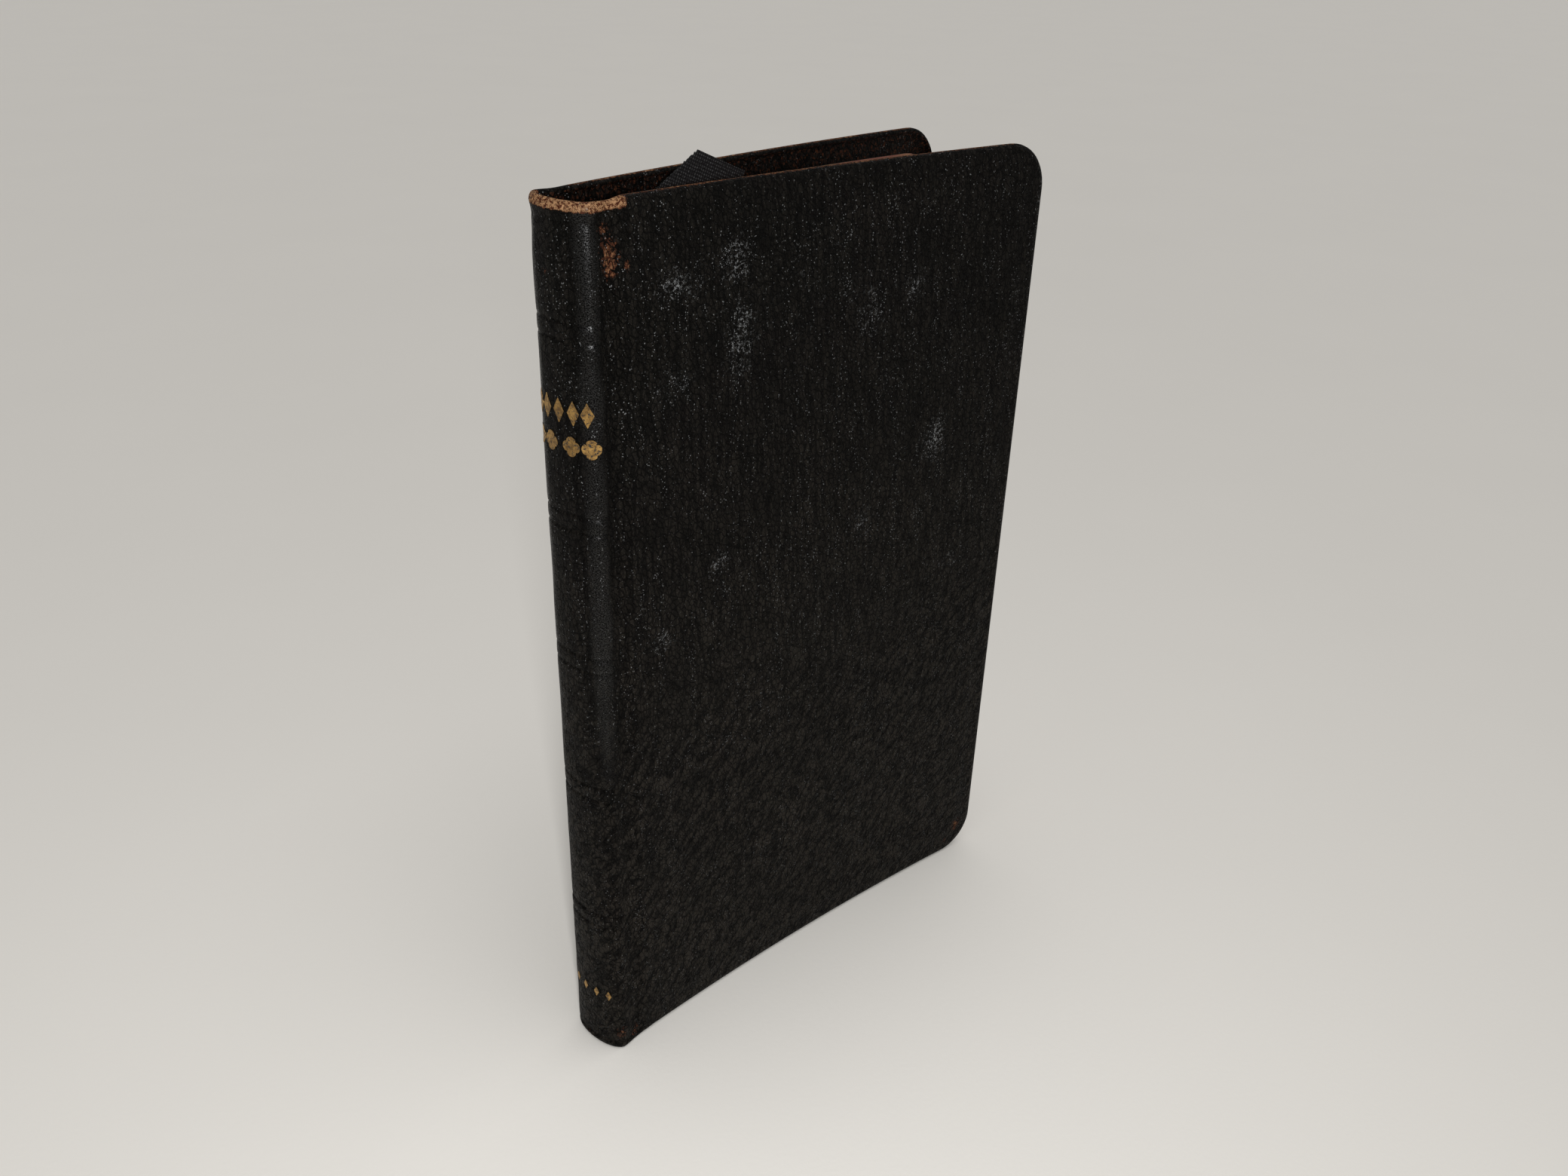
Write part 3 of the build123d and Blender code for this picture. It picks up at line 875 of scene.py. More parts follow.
@dataclass
class LeatherCase:
    """The hide round the whole book, cut along a line behind the rear joint."""

    plan: BookPlan
    pitch: float = 0.66  # between the mesh's lines
    rim: float = 1.7  # the outer face starts this far inside the outline
    seam: float = 1.5  # the cut, from the rear joint
    line_heights: tuple[float, ...] = (33.6, 64.3, 92.0, 118.9, 151.2)
    line_spacing: float = 2.9
    line_depth: float = 0.28
    joint_place: float = 3.0  # the dip beside each joint, from the joint
    joint_dip: float = 0.62
    border_dip: float = 0.3
    turned: float = 3.6  # hide past this length from the outer face's edge is turn-in
    # the turn-in's fixed wear paints it part rubbed brown, as painted light
    turn_in_painted_light: float = 0.46
    outer_run: float = 2.4  # the relief dies out over this length
    rim_steps: tuple[RimStep, ...] = (
        RimStep(1.05, 0.13, 1.15, 0.0),
        RimStep(0.50, 0.50, 0.62, 0.06),
        RimStep(0.13, 1.05, 0.22, 0.24),
        RimStep(0.0, 1.70, 0.02, 0.55),
        RimStep(0.05, 2.25, 0.06, 0.82),
        RimStep(0.30, 2.55, 0.26, 1.06),
        RimStep(0.60, 2.60, 0.55, 1.18),
        RimStep(0.87, 2.38, 0.90, 1.2),
        RimStep(1.0, 2.0, 1.25, 1.2),
        RimStep(1.35, 1.70, 1.60, 1.2),
        RimStep(6.0, 1.70, 6.0, 1.2),
        RimStep(13.0, 1.68, 13.0, 1.2),
        RimStep(13.03, 0.85, 13.03, 0.85),
    )
    wear_spots: tuple[Spot, ...] = (
        Spot(2.8, 162.6, 3.2, 5.8, 0.62),
        Spot(3.0, 160.6, 1.8, 2.2, 0.68),
        Spot(2.0, 166.8, 1.6, 1.5, 0.66),
        Spot(5.8, 160.6, 1.3, 1.6, 0.64),
        Spot(-9.5, 160.0, 2.6, 1.1, 0.5),
        Spot(-6.5, 158.8, 1.6, 0.9, 0.42),
        Spot(-1.0, 4.5, 2.6, 3.0, 0.55),
        Spot(2.5, 2.5, 2.0, 3.0, 0.55),
        Spot(-9.0, 1.2, 7.0, 0.9, 0.45),
        Spot(100.8, 7.2, 2.8, 3.4, 0.6),
        Spot(97.5, 3.6, 2.0, 1.5, 0.52),
        Spot(101.5, 163.5, 3.0, 3.4, 0.38),
        Spot(1.0, 95.0, 1.0, 50.0, 0.2),
    )
    dust_spots: tuple[Spot, ...] = (
        Spot(16.0, 156.1, 5.5, 3.5, 0.75),
        Spot(28.5, 158.6, 3.6, 4.2, 1.0),
        Spot(29.6, 145.2, 3.6, 8.0, 0.85),
        Spot(61.1, 144.7, 3.2, 7.0, 0.7),
        Spot(72.3, 147.4, 2.8, 4.0, 0.8),
        Spot(14.9, 140.1, 4.5, 3.5, 0.6),
        Spot(80.7, 114.9, 3.4, 5.0, 1.0),
        Spot(62.1, 102.4, 3.0, 6.0, 0.6),
        Spot(25.5, 104.8, 2.6, 2.4, 0.85),
        Spot(11.5, 92.4, 2.6, 2.4, 0.8),
        Spot(89.6, 85.2, 1.8, 2.4, 0.75),
        Spot(97.8, 63.1, 1.6, 1.8, 0.6),
        Spot(45.0, 150.0, 30.0, 14.0, 0.22),
    )

    def hide_u(self, side: Side, reach: float) -> float:
        """Place along the hide of a reach measured outwards from a cover's own joint."""
        return reach if side is Side.FRONT else -reach - self.plan.spine_length

    def rows(self) -> list[float]:
        """Heights of the mesh's rows: close at the rounded corners and at the tooled lines."""
        low, high = self.rim, self.plan.height - self.rim
        corner = self.plan.cover_corner - self.rim
        ends = [corner * (1 - math.cos(math.radians(7.5 * step))) for step in range(12)]
        rows = [low + end for end in ends] + [high - end for end in ends]
        lines = [h + way * self.line_spacing / 2 for h in self.line_heights for way in (-1, 1)]
        tooled = [line + shift for line in lines for shift in (-0.42, -0.16, 0.16, 0.42)]
        even = spaced(low + corner, high - corner, self.pitch)
        even = [row for row in even if all(abs(row - line) > 0.8 for line in lines)]
        return sorted(rows + tooled + even)

    def relief(self, u: float, v: float, edge: float, on_cover: float) -> float:
        """How far the leather's outer face stands out from its plain form.

        Args:
            u: Place along the hide.
            v: Height above the tail edge.
            edge: Distance from the nearest edge.
            on_cover: 0 on the spine, 1 on a cover.

        Returns:
            The height, negative where it dips.
        """
        reach = u if u > 0 else -u - self.plan.spine_length
        if -self.plan.spine_length < u < 0:
            reach = max(u, -u - self.plan.spine_length)
        joint = -self.joint_dip * bell(reach - self.joint_place, 1.7)
        border = -self.border_dip * (1 - smooth((edge - 3.2) / 3.4)) * on_cover
        swell = 0.13 * grain(u, v, 26.0, 1.0) + 0.07 * grain(u * 1.6, v, 9.0, 5.0)
        upright = 0.055 * grain(u * 2.6, v * 0.35, 3.0, 9.0)
        slanted = 0.06 * grain(u * 1.2 + v * 1.5, v - u, 4.5, 13.0)
        creases = upright + (slanted - upright) * smooth((85.0 - v) / 45.0)
        fade = smooth(edge / 4.0)
        tooling = 0.0
        if reach < 1.5:
            for height in self.line_heights:
                for way in (-1, 1):
                    tooling -= bell(v - height - way * self.line_spacing / 2, 0.3)
        tooling *= self.line_depth * smooth((1.5 - reach) / 2.5)
        top = self.plan.height - v
        cap = 0.28 * bell(top - 1.1, 1.1) - 0.2 * bell(top - 3.2, 0.5) - 0.3 * bell(top - 4.0, 3.2)
        tail = 0.1 * bell(v - 0.7, 0.7) - 0.22 * bell(v - 1.7, 0.35)
        return joint + border + (swell + creases) * fade + tooling + (cap + tail) * (1 - on_cover)

    def wear_and_painted_light(self, u: float, v: float, edge: float, on_cover: float) -> float:
        """How much the black has worn off the leather, from 0 to 1, with a painted highlight along the top
        edges.
        """
        top = self.plan.height - v
        patches = max(spot.at(u, v) for spot in self.wear_spots)
        cap = 0.95 * (1 - smooth((top - 1.2) / 0.9)) * (1 - smooth((u - 5.6) / 2.0)) * smooth((u + 17.0) / 2)
        tail = 0.4 * (1 - smooth(v / 1.5)) * (1 - on_cover)
        # Painted highlight: a thin pale line along the top edges, drawn as wear.
        rim = (0.66 + 0.14 * grain(u, v, 7.0, 3.0)) * (1 - smooth(edge / 0.28)) * smooth((v - 150) / 20)
        return max(patches, cap, tail, rim)

    def polish(self, u: float, v: float) -> float:
        """How shiny handling has made the leather, from 0 to 1."""
        shoulders = bell(u + 1.6, 2.6) + bell(u + self.plan.spine_length - 1.6, 2.6)
        return min(1.0, shoulders * (0.8 + 0.25 * grain(u, v, 8.0, 7.0))) * smooth((v - 30) / 70)

    def build_half(self, side: Side, start: float, name: str) -> bpy.types.Object:
        """Make one cover's leather with the spine leather that belongs to it.

        Args:
            side: Which cover.
            start: Where the leather starts, measured outwards from the cover's joint.
            name: Name of the piece.

        Returns:
            The finished piece.
        """
        plan = self.plan
        shape = Shape(("wear_and_painted_light", "polish", "dust"), ("hide", "base", "outward"))
        corner = plan.cover_corner - self.rim
        end = plan.cover_width - self.rim
        columns, rows = spaced(start, end, self.pitch), self.rows()
        table = shape.lattice(columns, rows)
        base, outward = shape.vectors("base"), shape.vectors("outward")
        squeeze_from = end - 20.0
        for row in table:
            for vert in row:
                near = max(0.0, corner - min(vert.co.y - self.rim, plan.height - self.rim - vert.co.y))
                row_end = end - corner + math.sqrt(corner**2 - near**2)
                if vert.co.x > squeeze_from:
                    vert.co.x = squeeze_from + (vert.co.x - squeeze_from) * (row_end - squeeze_from) / 20.0
                vert[base] = vert.co
        for row in table:
            vert = row[-1]
            centre_y = min(max(vert.co.y, plan.cover_corner), plan.height - plan.cover_corner)
            vert[outward] = Vector((vert.co.x - end + corner, vert.co.y - centre_y, 0)).normalized()
        for row, way in ((table[0], -1), (table[-1], 1)):
            for vert in row:
                vert[outward] = (0, way, 0)

        hide = shape.vectors("hide")
        wear_and_painted_light, polish, dust = (shape.numbers(key) for key in ("wear_and_painted_light", "polish", "dust"))

        def dress(vert: Any, inset: float, run: float) -> None:
            """Give a vertex its place on the hide, its wear with the painted light on the top edges and on
            the turn-in, and its relief.

            Args:
                vert: The vertex, still flat.
                inset: How far it lies inside the outline.
                run: Length of hide from the outer face's edge to it.
            """
            r, v = vert[base].x + vert[outward].x * run, vert[base].y + vert[outward].y * run
            u = self.hide_u(side, r)
            vert[hide] = (u, v, 0)
            edge = max(0.0, min(plan.cover_width - vert.co.x, vert.co.y, plan.height - vert.co.y))
            on_cover = smooth((vert.co.x - 1.0) / 7.0)
            # The turn-in gets a fixed wear value that paints it part rubbed brown: painted light standing in
            # for the lamp on the inner face.
            vert[wear_and_painted_light] = self.turn_in_painted_light if run > self.turned else self.wear_and_painted_light(u, vert.co.y, edge, on_cover)
            vert[polish] = self.polish(u, v)
            if side is Side.FRONT and inset >= self.rim:
                vert[dust] = max(spot.at(u, v) for spot in self.dust_spots)
            fade = smooth((self.outer_run - run) / self.outer_run)
            vert.co.z += fade * self.relief(u, vert.co.y, edge, on_cover)

        for vert in shape.bm.verts:
            dress(vert, self.rim, 0.0)
        edges = [edge for edge in shape.bm.edges if edge.is_boundary]
        last, travel = (self.rim, 0.0), 0.0
        for step in self.rim_steps:
            made = bmesh.ops.extrude_edge_only(shape.bm, edges=edges)["geom"]
            verts = [item for item in made if isinstance(item, bmesh.types.BMVert)]
            edges = [item for item in made if isinstance(item, bmesh.types.BMEdge) and item.is_boundary]
            travel += math.hypot(step.cover_inset - last[0], step.cover_depth - last[1])
            last = (step.cover_inset, step.cover_depth)
            for vert in verts:
                r, v, _ = vert[base]
                on_cover = smooth((r - 1.0) / 7.0)
                inset = step.spine_inset + (step.cover_inset - step.spine_inset) * on_cover
                depth = step.spine_depth + (step.cover_depth - step.spine_depth) * on_cover
                notch = 0.2 * bell(r - 3.2, 2.2) if inset < 3 else 0.0
                r += vert[outward].x * (self.rim - inset)
                v += vert[outward].y * (self.rim - inset - notch)
                r = min(r, plan.cover_width - inset)
                v = min(max(v, inset), plan.height - inset)
                vert.co = (r, v, -depth)
                dress(vert, inset, travel)
        bmesh.ops.remove_doubles(shape.bm, verts=shape.bm.verts, dist=0.002)
        open_edges = [edge for edge in shape.bm.edges if edge.is_boundary]
        inner = bmesh.ops.edgeloop_fill(shape.bm, edges=open_edges)["faces"]
        for cut in spaced(start, plan.cover_width, 3 * self.pitch)[1:-1]:
            rims = dict.fromkeys(part for face in inner for part in (*face.edges, *face.verts))
            cuts = bmesh.ops.bisect_plane(
                shape.bm, geom=[*inner, *rims], plane_co=(cut, 0, 0), plane_no=(1, 0, 0), dist=0.01
            )["geom"]
            inner = [item for item in cuts if isinstance(item, bmesh.types.BMFace)]
        shape.wrap(lambda vert: plan.on_hide(self.hide_u(side, vert.co.x), vert.co.y, -vert.co.z))
        return shape.finish(name, LEATHER, 50.0)

    def build(self) -> None:
        """Make both pieces of the hide and hang them on the covers."""
        plan = self.plan
        front = self.build_half(Side.FRONT, self.seam - plan.spine_length, "front_hide")
        back = self.build_half(Side.BACK, -self.seam, "back_hide")
        for side, piece, nodes in (
            (Side.FRONT, front, ("spine_leather", "front_cover_leather")),
            (Side.BACK, back, ("back_cover_leather",)),
        ):
            start, end = (plan.on_cover(side, s, 0.0, 0.0) * MM for s in (0.0, plan.joint_blend))
            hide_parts(*nodes)
            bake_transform(piece, "root", f"{side.word}_cover", start=tuple(start), end=tuple(end))


# ---------------------------------------------------------------- endpapers
@dataclass
class Endpaper:
    """Black paper pasted inside one cover, from its window in the turn-in across the joint."""

    plan: BookPlan
    side: Side
    margin: float = 13.2  # inside the cover's edges
    thickness: float = 0.15
    pitch: float = 1.5

    def depth(self, s: float) -> float:
        """The paper's outer face, under the cover's: over the card, into the joint, up to the fold."""
        sunk = 0.95 + 0.35 * smooth((s - 3.4) / 1.6)
        return sunk + 0.08 * (1 - smooth((s + 0.3) / 1.6))

    def build(self) -> None:
        """Make the paper and hang it on its cover."""
        plan, shape = self.plan, Shape()
        columns = spaced(-0.3, 5.0, 0.35)[:-1] + spaced(5.0, plan.cover_width - self.margin, self.pitch)
        shape.lattice(columns, spaced(self.margin, plan.height - self.margin, self.pitch))
        bmesh.ops.solidify(shape.bm, geom=shape.bm.faces[:], thickness=self.thickness)
        highest = max(vert.co.z for vert in shape.bm.verts)

        def place(vert: Any) -> Vector:
            """The vertex's place on the cover."""
            s, v, z = vert.co
            ripple = 0.025 * grain(s, v, 12.0, 21.0 + self.side.value) * smooth((s - 5) / 6)
            return plan.on_cover(self.side, s, v, self.depth(s) + (highest - z) - ripple)

        shape.wrap(place)
        piece = shape.finish(f"{self.side.word}_endpaper", ENDPAPER)
        start, end = (plan.on_cover(self.side, s, 0.0, 0.0) * MM for s in (0.0, plan.joint_blend))
        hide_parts(f"{self.side.word}_pastedown")
        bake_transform(piece, "root", f"{self.side.word}_cover", start=tuple(start), end=tuple(end))


# ---------------------------------------------------------------- text block
@dataclass
class TextBlock:
    """The sewn sections, each a stack of thin leaves with rounded corners."""

    plan: BookPlan
    count: int = 11
    fixed: int = 6
    thickness: float = 0.8
    gap: float = 0.05
    ribbon_gap: float = 0.4
    square: float = 3.5
    page_end: float = 97.5
    corner: float = 9.0
    fold: float = 0.5  # thickness at the fold
    fold_length: float = 1.6
    ridges: int = 8
    slip: float = 0.16  # how unevenly the leaves' edges lie

    @property
    def offsets(self) -> list[float]:
        """Each section's distance from the book's middle."""
        block = self.count * self.thickness + (self.count - 1) * self.gap + self.ribbon_gap
        pitch = self.thickness + self.gap
        first = -block / 2 + self.thickness / 2
        extra = [self.ribbon_gap if step >= self.fixed else 0.0 for step in range(self.count)]
        return [first + step * pitch + extra[step] for step in range(self.count)]

    def fold_start(self, body: str, offset: float) -> float:
        """Length along the leaf at which a section's fold lies, before the joint line."""
        neighbours = sorted(self.plan.folds.values(), key=lambda fold: abs(fold[1] - offset))
        x = self.plan.folds[body][0] if body in self.plan.folds else neighbours[0][0]
        return x - self.plan.hinge_x

    def build_section(self, number: int, offset: float) -> None:
        """Make one section and hang it on its body.

        Args:
            number: The section's number from the front.
            offset: Its distance from the book's middle.
        """
        plan, shape = self.plan, Shape(("edge", "border"), ("leaf",))
        body = f"section_{number:02d}" if number != self.fixed else "root"
        start = self.fold_start(body, offset) - 0.1
        low, high = self.square, plan.height - self.square
        outline = bmesh.ops.create_grid(shape.bm, x_segments=1, y_segments=1, size=1)["verts"]
        for vert in outline:
            vert.co.x = self.page_end if vert.co.x > 0 else start
            vert.co.y = high if vert.co.y > 0 else low
        corners = [vert for vert in outline if vert.co.x > 0]
        bmesh.ops.bevel(
            shape.bm, geom=corners, offset=self.corner, offset_type="OFFSET", affect="VERTICES",
            segments=10, profile=0.5, material=-1,
        )
        open_from = start + self.fold_length
        stations = spaced(start, open_from, 0.4) + spaced(open_from, self.page_end, 3.0)
        for station in stations[1:-1]:
            bmesh.ops.bisect_plane(
                shape.bm, geom=shape.bm.verts[:] + shape.bm.edges[:] + shape.bm.faces[:],
                plane_co=(station, 0, 0), plane_no=(1, 0, 0), dist=0.001,
            )
        faces = shape.bm.faces[:]
        for vert in shape.bm.verts:
            vert.co.z = -self.thickness / 2
        edge, leaf, border = shape.numbers("edge"), shape.vectors("leaf"), shape.numbers("border")
        for step in range(self.ridges):
            made = bmesh.ops.extrude_face_region(shape.bm, geom=faces)["geom"]
            if step:
                bmesh.ops.delete(shape.bm, geom=faces, context="FACES_KEEP_BOUNDARY")
            faces = [item for item in made if isinstance(item, bmesh.types.BMFace)]
            for item in made:
                if isinstance(item, bmesh.types.BMVert):
                    item.co.z += self.thickness / self.ridges
        middle = (low + high) / 2
        shape.bm.normal_update()
        for vert in shape.bm.verts:
            s, v, z = vert.co
            vert[leaf] = (s, v, z + offset)
            rim = any(abs(face.normal.z) < 0.5 for face in vert.link_faces)
            vert[border] = min(self.page_end - s, v - low, high - v)
            ridge = round((z / self.thickness + 0.5) * self.ridges)
            if 0 < ridge < self.ridges:
                slip = self.slip * grain(number * 3.1 + ridge * 0.83, 0.5, 1.0, 31.0) + 0.03 * (ridge % 2)
                s -= (0.09 + slip) * smooth((s - start - 4) / 40.0)
                v -= math.copysign(0.06 + 0.5 * abs(slip), v - middle) * (vert[border] < 0.5)
            vert.co = (s, v, z)
            vert[edge] = 1.0 if rim and 0 < ridge < self.ridges else (0.5 if rim else 0.0)

        def place(vert: Any) -> Vector:
            """The vertex's place, with the section thinned towards its fold."""
            s, v, z = vert.co
            open_part = smooth((s - start) / self.fold_length)
            squeeze = self.fold / self.thickness * (1 - open_part) + open_part
            if s - start < 0.05:
                squeeze *= 0.75
            return plan.on_leaf(body, s, v, offset + z * squeeze)

        shape.wrap(place)
        piece = shape.finish(f"pages_{number:02d}", PAGES, 60.0)
        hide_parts(f"section_{number:02d}")
        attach(piece, body)

    def build(self) -> None:
        """Make every section."""
        for number, offset in enumerate(self.offsets, 1):
            self.build_section(number, offset)


# ---------------------------------------------------------------- ribbon
@dataclass
class RibbonMarker:
    """A flat ribbon laid between the pages, folded at its turn and again above the pages."""

    plan: BookPlan
    middle: float  # offset of the gap that it lies in
    route: tuple[tuple[float, float], ...] = ((2.5, 160.0), (8.5, 60.4), (22.8, 171.5), (38.05, 165.35))
    width: float = 10.0
    thickness: float = 0.12
    layer: float = 0.075  # each layer's middle, from the middle of the gap
    page_top: float = 167.5
    curl: float = 0.012

    def folds(self) -> list[tuple[Vector, Vector]]:
        """A point of each fold line and the line's direction."""
        points = [Vector(point) for point in self.route]
        lines = []
        for before, point, after in zip(points, points[1:], points[2:]):
            lines.append((point, ((point - before).normalized() + (after - point).normalized()).normalized()))
        return lines

    @property
    def length(self) -> float:
        """The ribbon's whole length when it is laid straight."""
        points = [Vector(point) for point in self.route]
        return sum((end - start).length for start, end in zip(points, points[1:]))

    def laid(self, along: float, across: float) -> Vector:
        """Where a point of the straight ribbon lies once it is folded.

        Args:
            along: Distance from the glued end.
            across: Distance from the ribbon's middle line.

        Returns:
            Place along the leaf, height, and distance from the middle of the gap.
        """
        points = [Vector(point) for point in self.route]
        heading = (points[1] - points[0]).normalized()
        place = points[0] + heading * along + Vector((-heading.y, heading.x)) * across
        layer = -self.layer
        for index, (point, direction) in enumerate(self.folds()):
            square = Vector((-direction.y, direction.x))
            before = (points[index] - point).dot(square)
            past = -(place - point).dot(square) * math.copysign(1.0, before)
            target = self.layer if index == 0 else -self.layer
            layer += (target - layer) * smooth(past / 0.3 + 0.5)
            if past > 0:
                place = place + square * math.copysign(1.0, before) * 2 * past
        lean = max(0.0, place.y - self.page_top)
        return Vector((place.x, place.y, layer - self.curl * lean**2))

    def stations(self) -> list[float]:
        """Places along the ribbon of the mesh's cross lines, close together."""
        return spaced(0.0, self.length, 0.5)

    def build(self) -> None:
        plan, shape = self.plan, Shape(vectors=("weave",))
        shape.lattice(self.stations(), spaced(-self.width / 2, self.width / 2, 0.5))
        weave = shape.vectors("weave")
        for vert in shape.bm.verts:
            vert[weave] = vert.co
        bmesh.ops.solidify(shape.bm, geom=shape.bm.faces[:], thickness=self.thickness)
        levels = [vert.co.z for vert in shape.bm.verts]
        centre = (max(levels) + min(levels)) / 2

        def place(vert: Any) -> Vector:
            """The vertex's place between the pages."""
            s, z, layer = self.laid(vert.co.x, vert.co.y)
            facing = 1 if layer > 0 else -1
            offset = self.middle + layer + facing * (vert.co.z - centre)
            return Vector((*plan.bowed(s, offset), z))

        shape.wrap(place)
        piece = shape.finish("ribbon", RIBBON)
        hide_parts("ribbon_marker")
        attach(piece, "root")
        flat = (self.width * MM, self.length * MM)


# ---------------------------------------------------------------- gilt tooling
class Device(Enum):
    """The small stamps used on the spine."""

    LOZENGE = "lozenge"
    QUATREFOIL = "quatrefoil"


@dataclass(frozen=True)
class StampRow:
    """A row of stamps: which one, its height on the spine, its size and the angles of its places."""

    device: Device
    height: float
    size: float
    angles: tuple[float, ...]


@dataclass
class SpineGilding:
    """Generic gilt stamps that lie in the leather of the spine."""

    case: LeatherCase
    name: str
    node: str
    rows: tuple[StampRow, ...]
    stand: float = 0.035

    def outline(self, device: Device, angle: float, size: float) -> tuple[float, float]:
        """Point of a stamp's outline at an angle round it."""
        if device is Device.LOZENGE:
            radius = size / (abs(math.sin(angle)) + abs(math.cos(angle)) / 0.55)
        else:
            radius = size * (0.72 + 0.28 * abs(math.cos(2 * angle)) ** 0.6)
        return radius * math.cos(angle), radius * math.sin(angle)

    def stamp(self, shape: Shape, row: StampRow, u: float) -> None:
        """Add one stamp, in rings that let it bend round the spine."""
        made = bmesh.ops.create_circle(shape.bm, cap_ends=True, radius=1.0, segments=40)["verts"]
        for vert in made:
            x, y = self.outline(row.device, math.atan2(vert.co.y, vert.co.x), row.size)
            vert.co = (u + x, row.height + y, 0)
        faces = list({face for vert in made for face in vert.link_faces})
        for drop in (0.03, -0.03, 0.0, 0.0):
            bmesh.ops.inset_region(shape.bm, faces=faces, thickness=0.14 * row.size, depth=drop)

    def build(self) -> None:
        """Make the row of stamps and lay it on the spine."""
        shape, plan = Shape(), self.case.plan
        for row in self.rows:
            for angle in row.angles:
                self.stamp(shape, row, plan.spine_u(angle))
        bmesh.ops.solidify(shape.bm, geom=shape.bm.faces[:], thickness=0.06)
        low = min(vert.co.z for vert in shape.bm.verts)

        def place(vert: Any) -> Vector:
            """The vertex's place on the leather's relief."""
            u, v, z = vert.co
            return plan.on_hide(u, v, -self.case.relief(u, v, v, 0.0) - self.stand - (z - low))

        shape.wrap(place)
        piece = shape.finish(self.name, GILT)
        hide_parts(self.node)
        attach(piece, "root")


# ---------------------------------------------------------------- pieces kept from the frame
@dataclass
class InnerParts:
    """Pieces whose shape is right in the frame, and which get their finishes here."""

    finishes: dict[str, Finish] = field(
        default_factory=lambda: {
            "board_card": Board("grey_board"),
            "mull": OpenCloth("starched_mull", (0.62, 0.55, 0.42), (0.25, 0.19, 0.12), 1.6),
            "lining": Board("kraft_lining", (0.30, 0.20, 0.11), (0.16, 0.10, 0.055)),
            "thread": OpenCloth("linen_thread", (0.66, 0.58, 0.44), (0.33, 0.26, 0.17), 5.0),
            "band": OpenCloth("silk_bead", (0.36, 0.035, 0.025), (0.55, 0.47, 0.33), 1.7),
            "flyleaf": ENDPAPER,
        }
    )

    def build(self) -> None:
        """Dress each node whose name holds one of the words."""
        hidden = ("leather", "section", "pastedown", "gilt", "ribbon")
        for name, node in frame["nodes"].items():
            if any(word in name for word in hidden):
                continue
            finish = next(finish for word, finish in self.finishes.items() if word in name)
            for slot in node.material_slots:
                slot.material = finish.material
            LOG.info("%s: %s", name, finish.name)


# ---------------------------------------------------------------- studio
@dataclass(frozen=True)
class Lamp:
    """A lamp: Blender's name for its type, what it points at, its power in watts, and its sizes.

    A sun's power is in watts per square metre.
    """

    name: str
    kind: str
    place: Colour
    aim: Colour
    power: float
    sizes: dict[str, float]

    def hang(self) -> None:
        """Make the lamp in the scene."""
        lamp = bpy.data.lights.new(self.name, self.kind)
        lamp.energy = self.power
        for size, value in self.sizes.items():
            setattr(lamp, size, value)
        light = bpy.data.objects.new(self.name, lamp)
        light.location = self.place
        light.rotation_euler = (Vector(self.aim) - Vector(self.place)).to_track_quat("-Z", "Y").to_euler()
        bpy.context.scene.collection.objects.link(light)


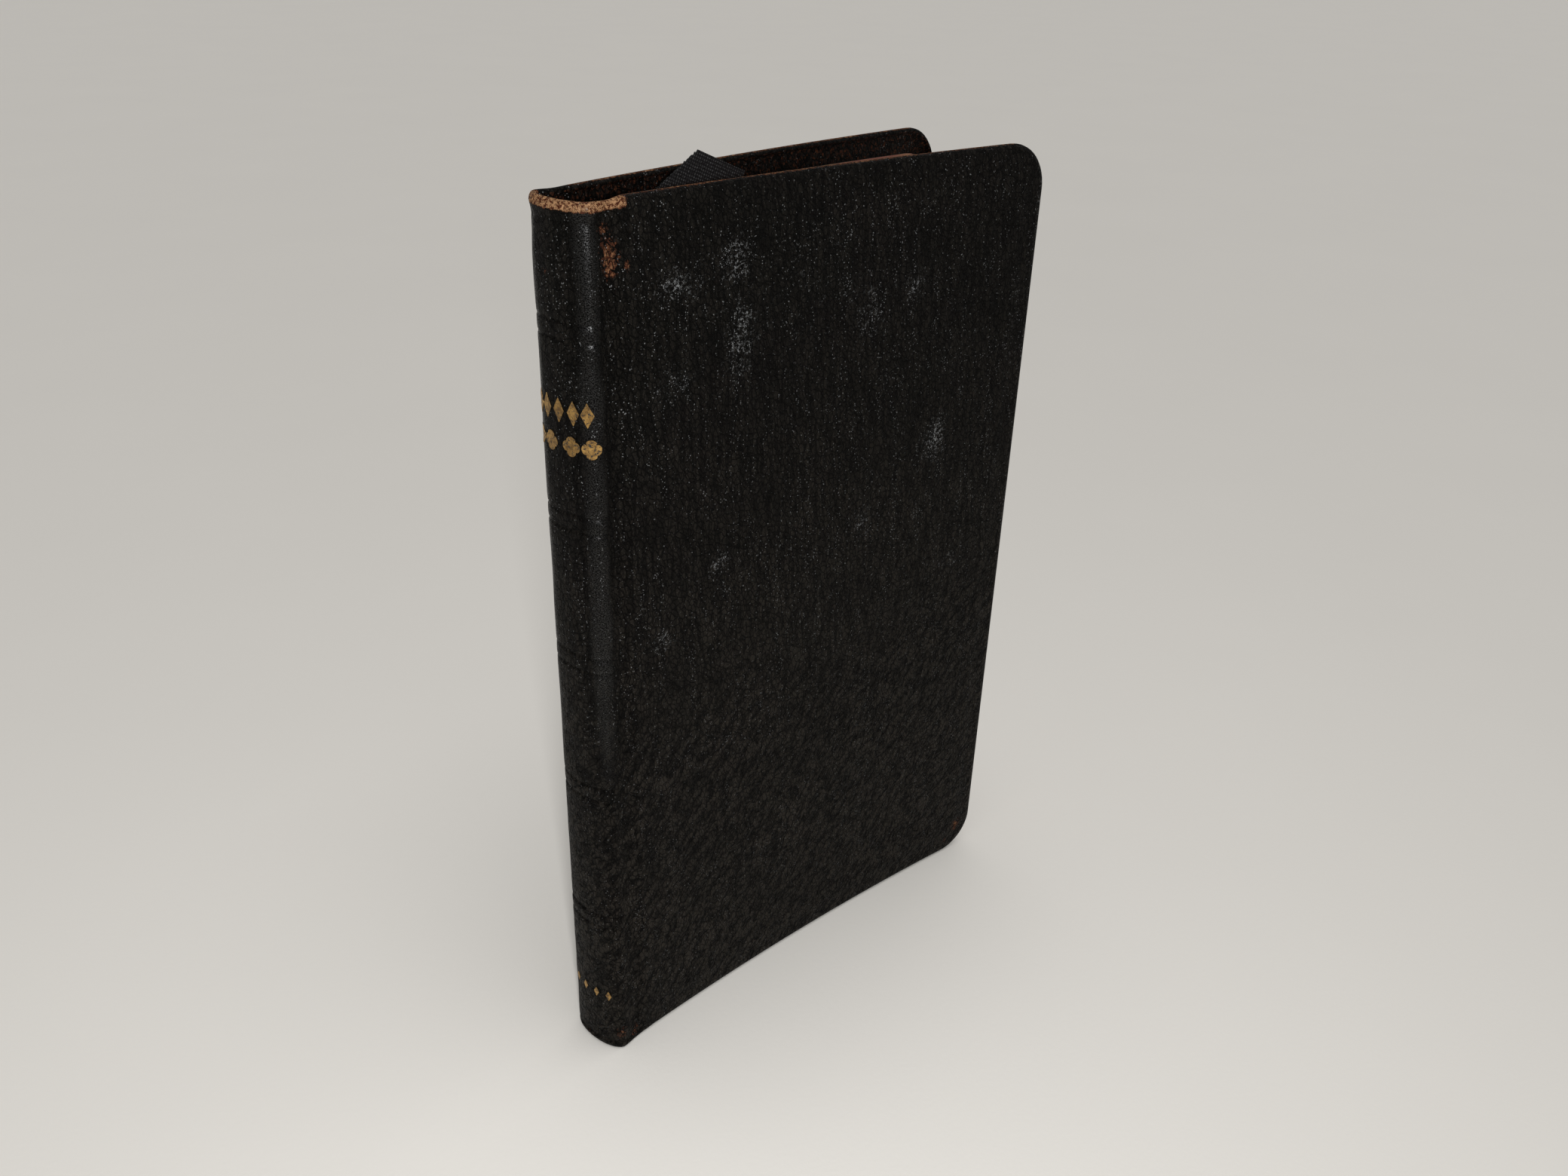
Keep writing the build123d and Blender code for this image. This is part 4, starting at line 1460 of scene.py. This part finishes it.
@dataclass
class Studio:
    """Floor, light and camera, in metres."""

    position: Vector = Vector((-0.12721, -0.14943, 0.20933))
    heading: float = 38.967  # degrees from +X towards +Y
    pitch: float = 27.85  # degrees below level
    roll: float = 1.849
    lens: float = 29.477
    floor_reach: float = 9.0
    sky: Colour = (1.0, 0.985, 0.96)
    sky_strength: float = 0.33
    lamps: tuple[Lamp, ...] = (
        Lamp("key", "AREA", (-0.128, -0.160, 0.205), (0.04, 0.0, 0.09), 0.36, {"size": 0.014}),
        Lamp("overhead", "SUN", (0.3, -0.3, 2.0), (0.1, 0.0, 0.0), 1.0, {"angle": 0.9}),
    )

    def place_camera(self) -> None:
        """Make the camera and choose it."""
        lens = bpy.data.cameras.new("camera")
        lens.lens = self.lens
        lens.sensor_width = 36.0
        lens.clip_end = 100.0
        lens.clip_start = 0.01
        camera = bpy.data.objects.new("camera", lens)
        aim = Euler((math.radians(90 - self.pitch), 0, math.radians(self.heading - 90)))
        roll = Matrix.Rotation(math.radians(self.roll), 4, "Z")
        camera.matrix_world = Matrix.Translation(self.position) @ aim.to_matrix().to_4x4() @ roll
        bpy.context.scene.collection.objects.link(camera)
        bpy.context.scene.camera = camera

    def lay_floor(self) -> None:
        """Make the floor."""
        bm = bmesh.new()
        bmesh.ops.create_grid(bm, x_segments=8, y_segments=8, size=self.floor_reach)
        mesh = bpy.data.meshes.new("floor")
        bm.to_mesh(mesh)
        bm.free()
        mesh.materials.append(StudioPaper("studio_paper").material)
        floor = bpy.data.objects.new("floor", mesh)
        bpy.context.scene.collection.objects.link(floor)

    def light(self) -> None:
        """Set the world and hang the lamps."""
        world = bpy.data.worlds.new("studio")
        world.use_nodes = True
        background = world.node_tree.nodes["Background"]
        background.inputs["Color"].default_value = (*self.sky, 1.0)
        background.inputs["Strength"].default_value = self.sky_strength
        bpy.context.scene.world = world
        bpy.context.scene.view_settings.view_transform = "Standard"
        for lamp in self.lamps:
            lamp.hang()


def main() -> None:
    """Build the scene, piece by piece."""
    logging.basicConfig(level=logging.INFO, format="%(name)s %(message)s")
    plan = BookPlan.from_frame(frame)
    studio = Studio()
    studio.place_camera()
    studio.lay_floor()
    studio.light()
    case = LeatherCase(plan)
    case.build()
    for side in Side:
        Endpaper(plan, side).build()
    text = TextBlock(plan)
    text.build()
    middle = (text.offsets[text.fixed - 1] + text.offsets[text.fixed]) / 2
    RibbonMarker(plan, middle).build()
    title = (
        StampRow(Device.LOZENGE, 138.3, 2.1, (-52.0, -26.0, 0.0, 26.0, 52.0)),
        StampRow(Device.QUATREFOIL, 132.6, 1.7, (-58.0, -20.0, 20.0, 58.0)),
    )
    foot = (StampRow(Device.LOZENGE, 14.4, 1.2, (-40.0, -13.0, 13.0, 40.0)),)
    SpineGilding(case, "gilt_upper", "gilt_title", title).build()
    SpineGilding(case, "gilt_lower", "gilt_foot", foot).build()
    InnerParts().build()


if __name__ == "__main__":
    main()
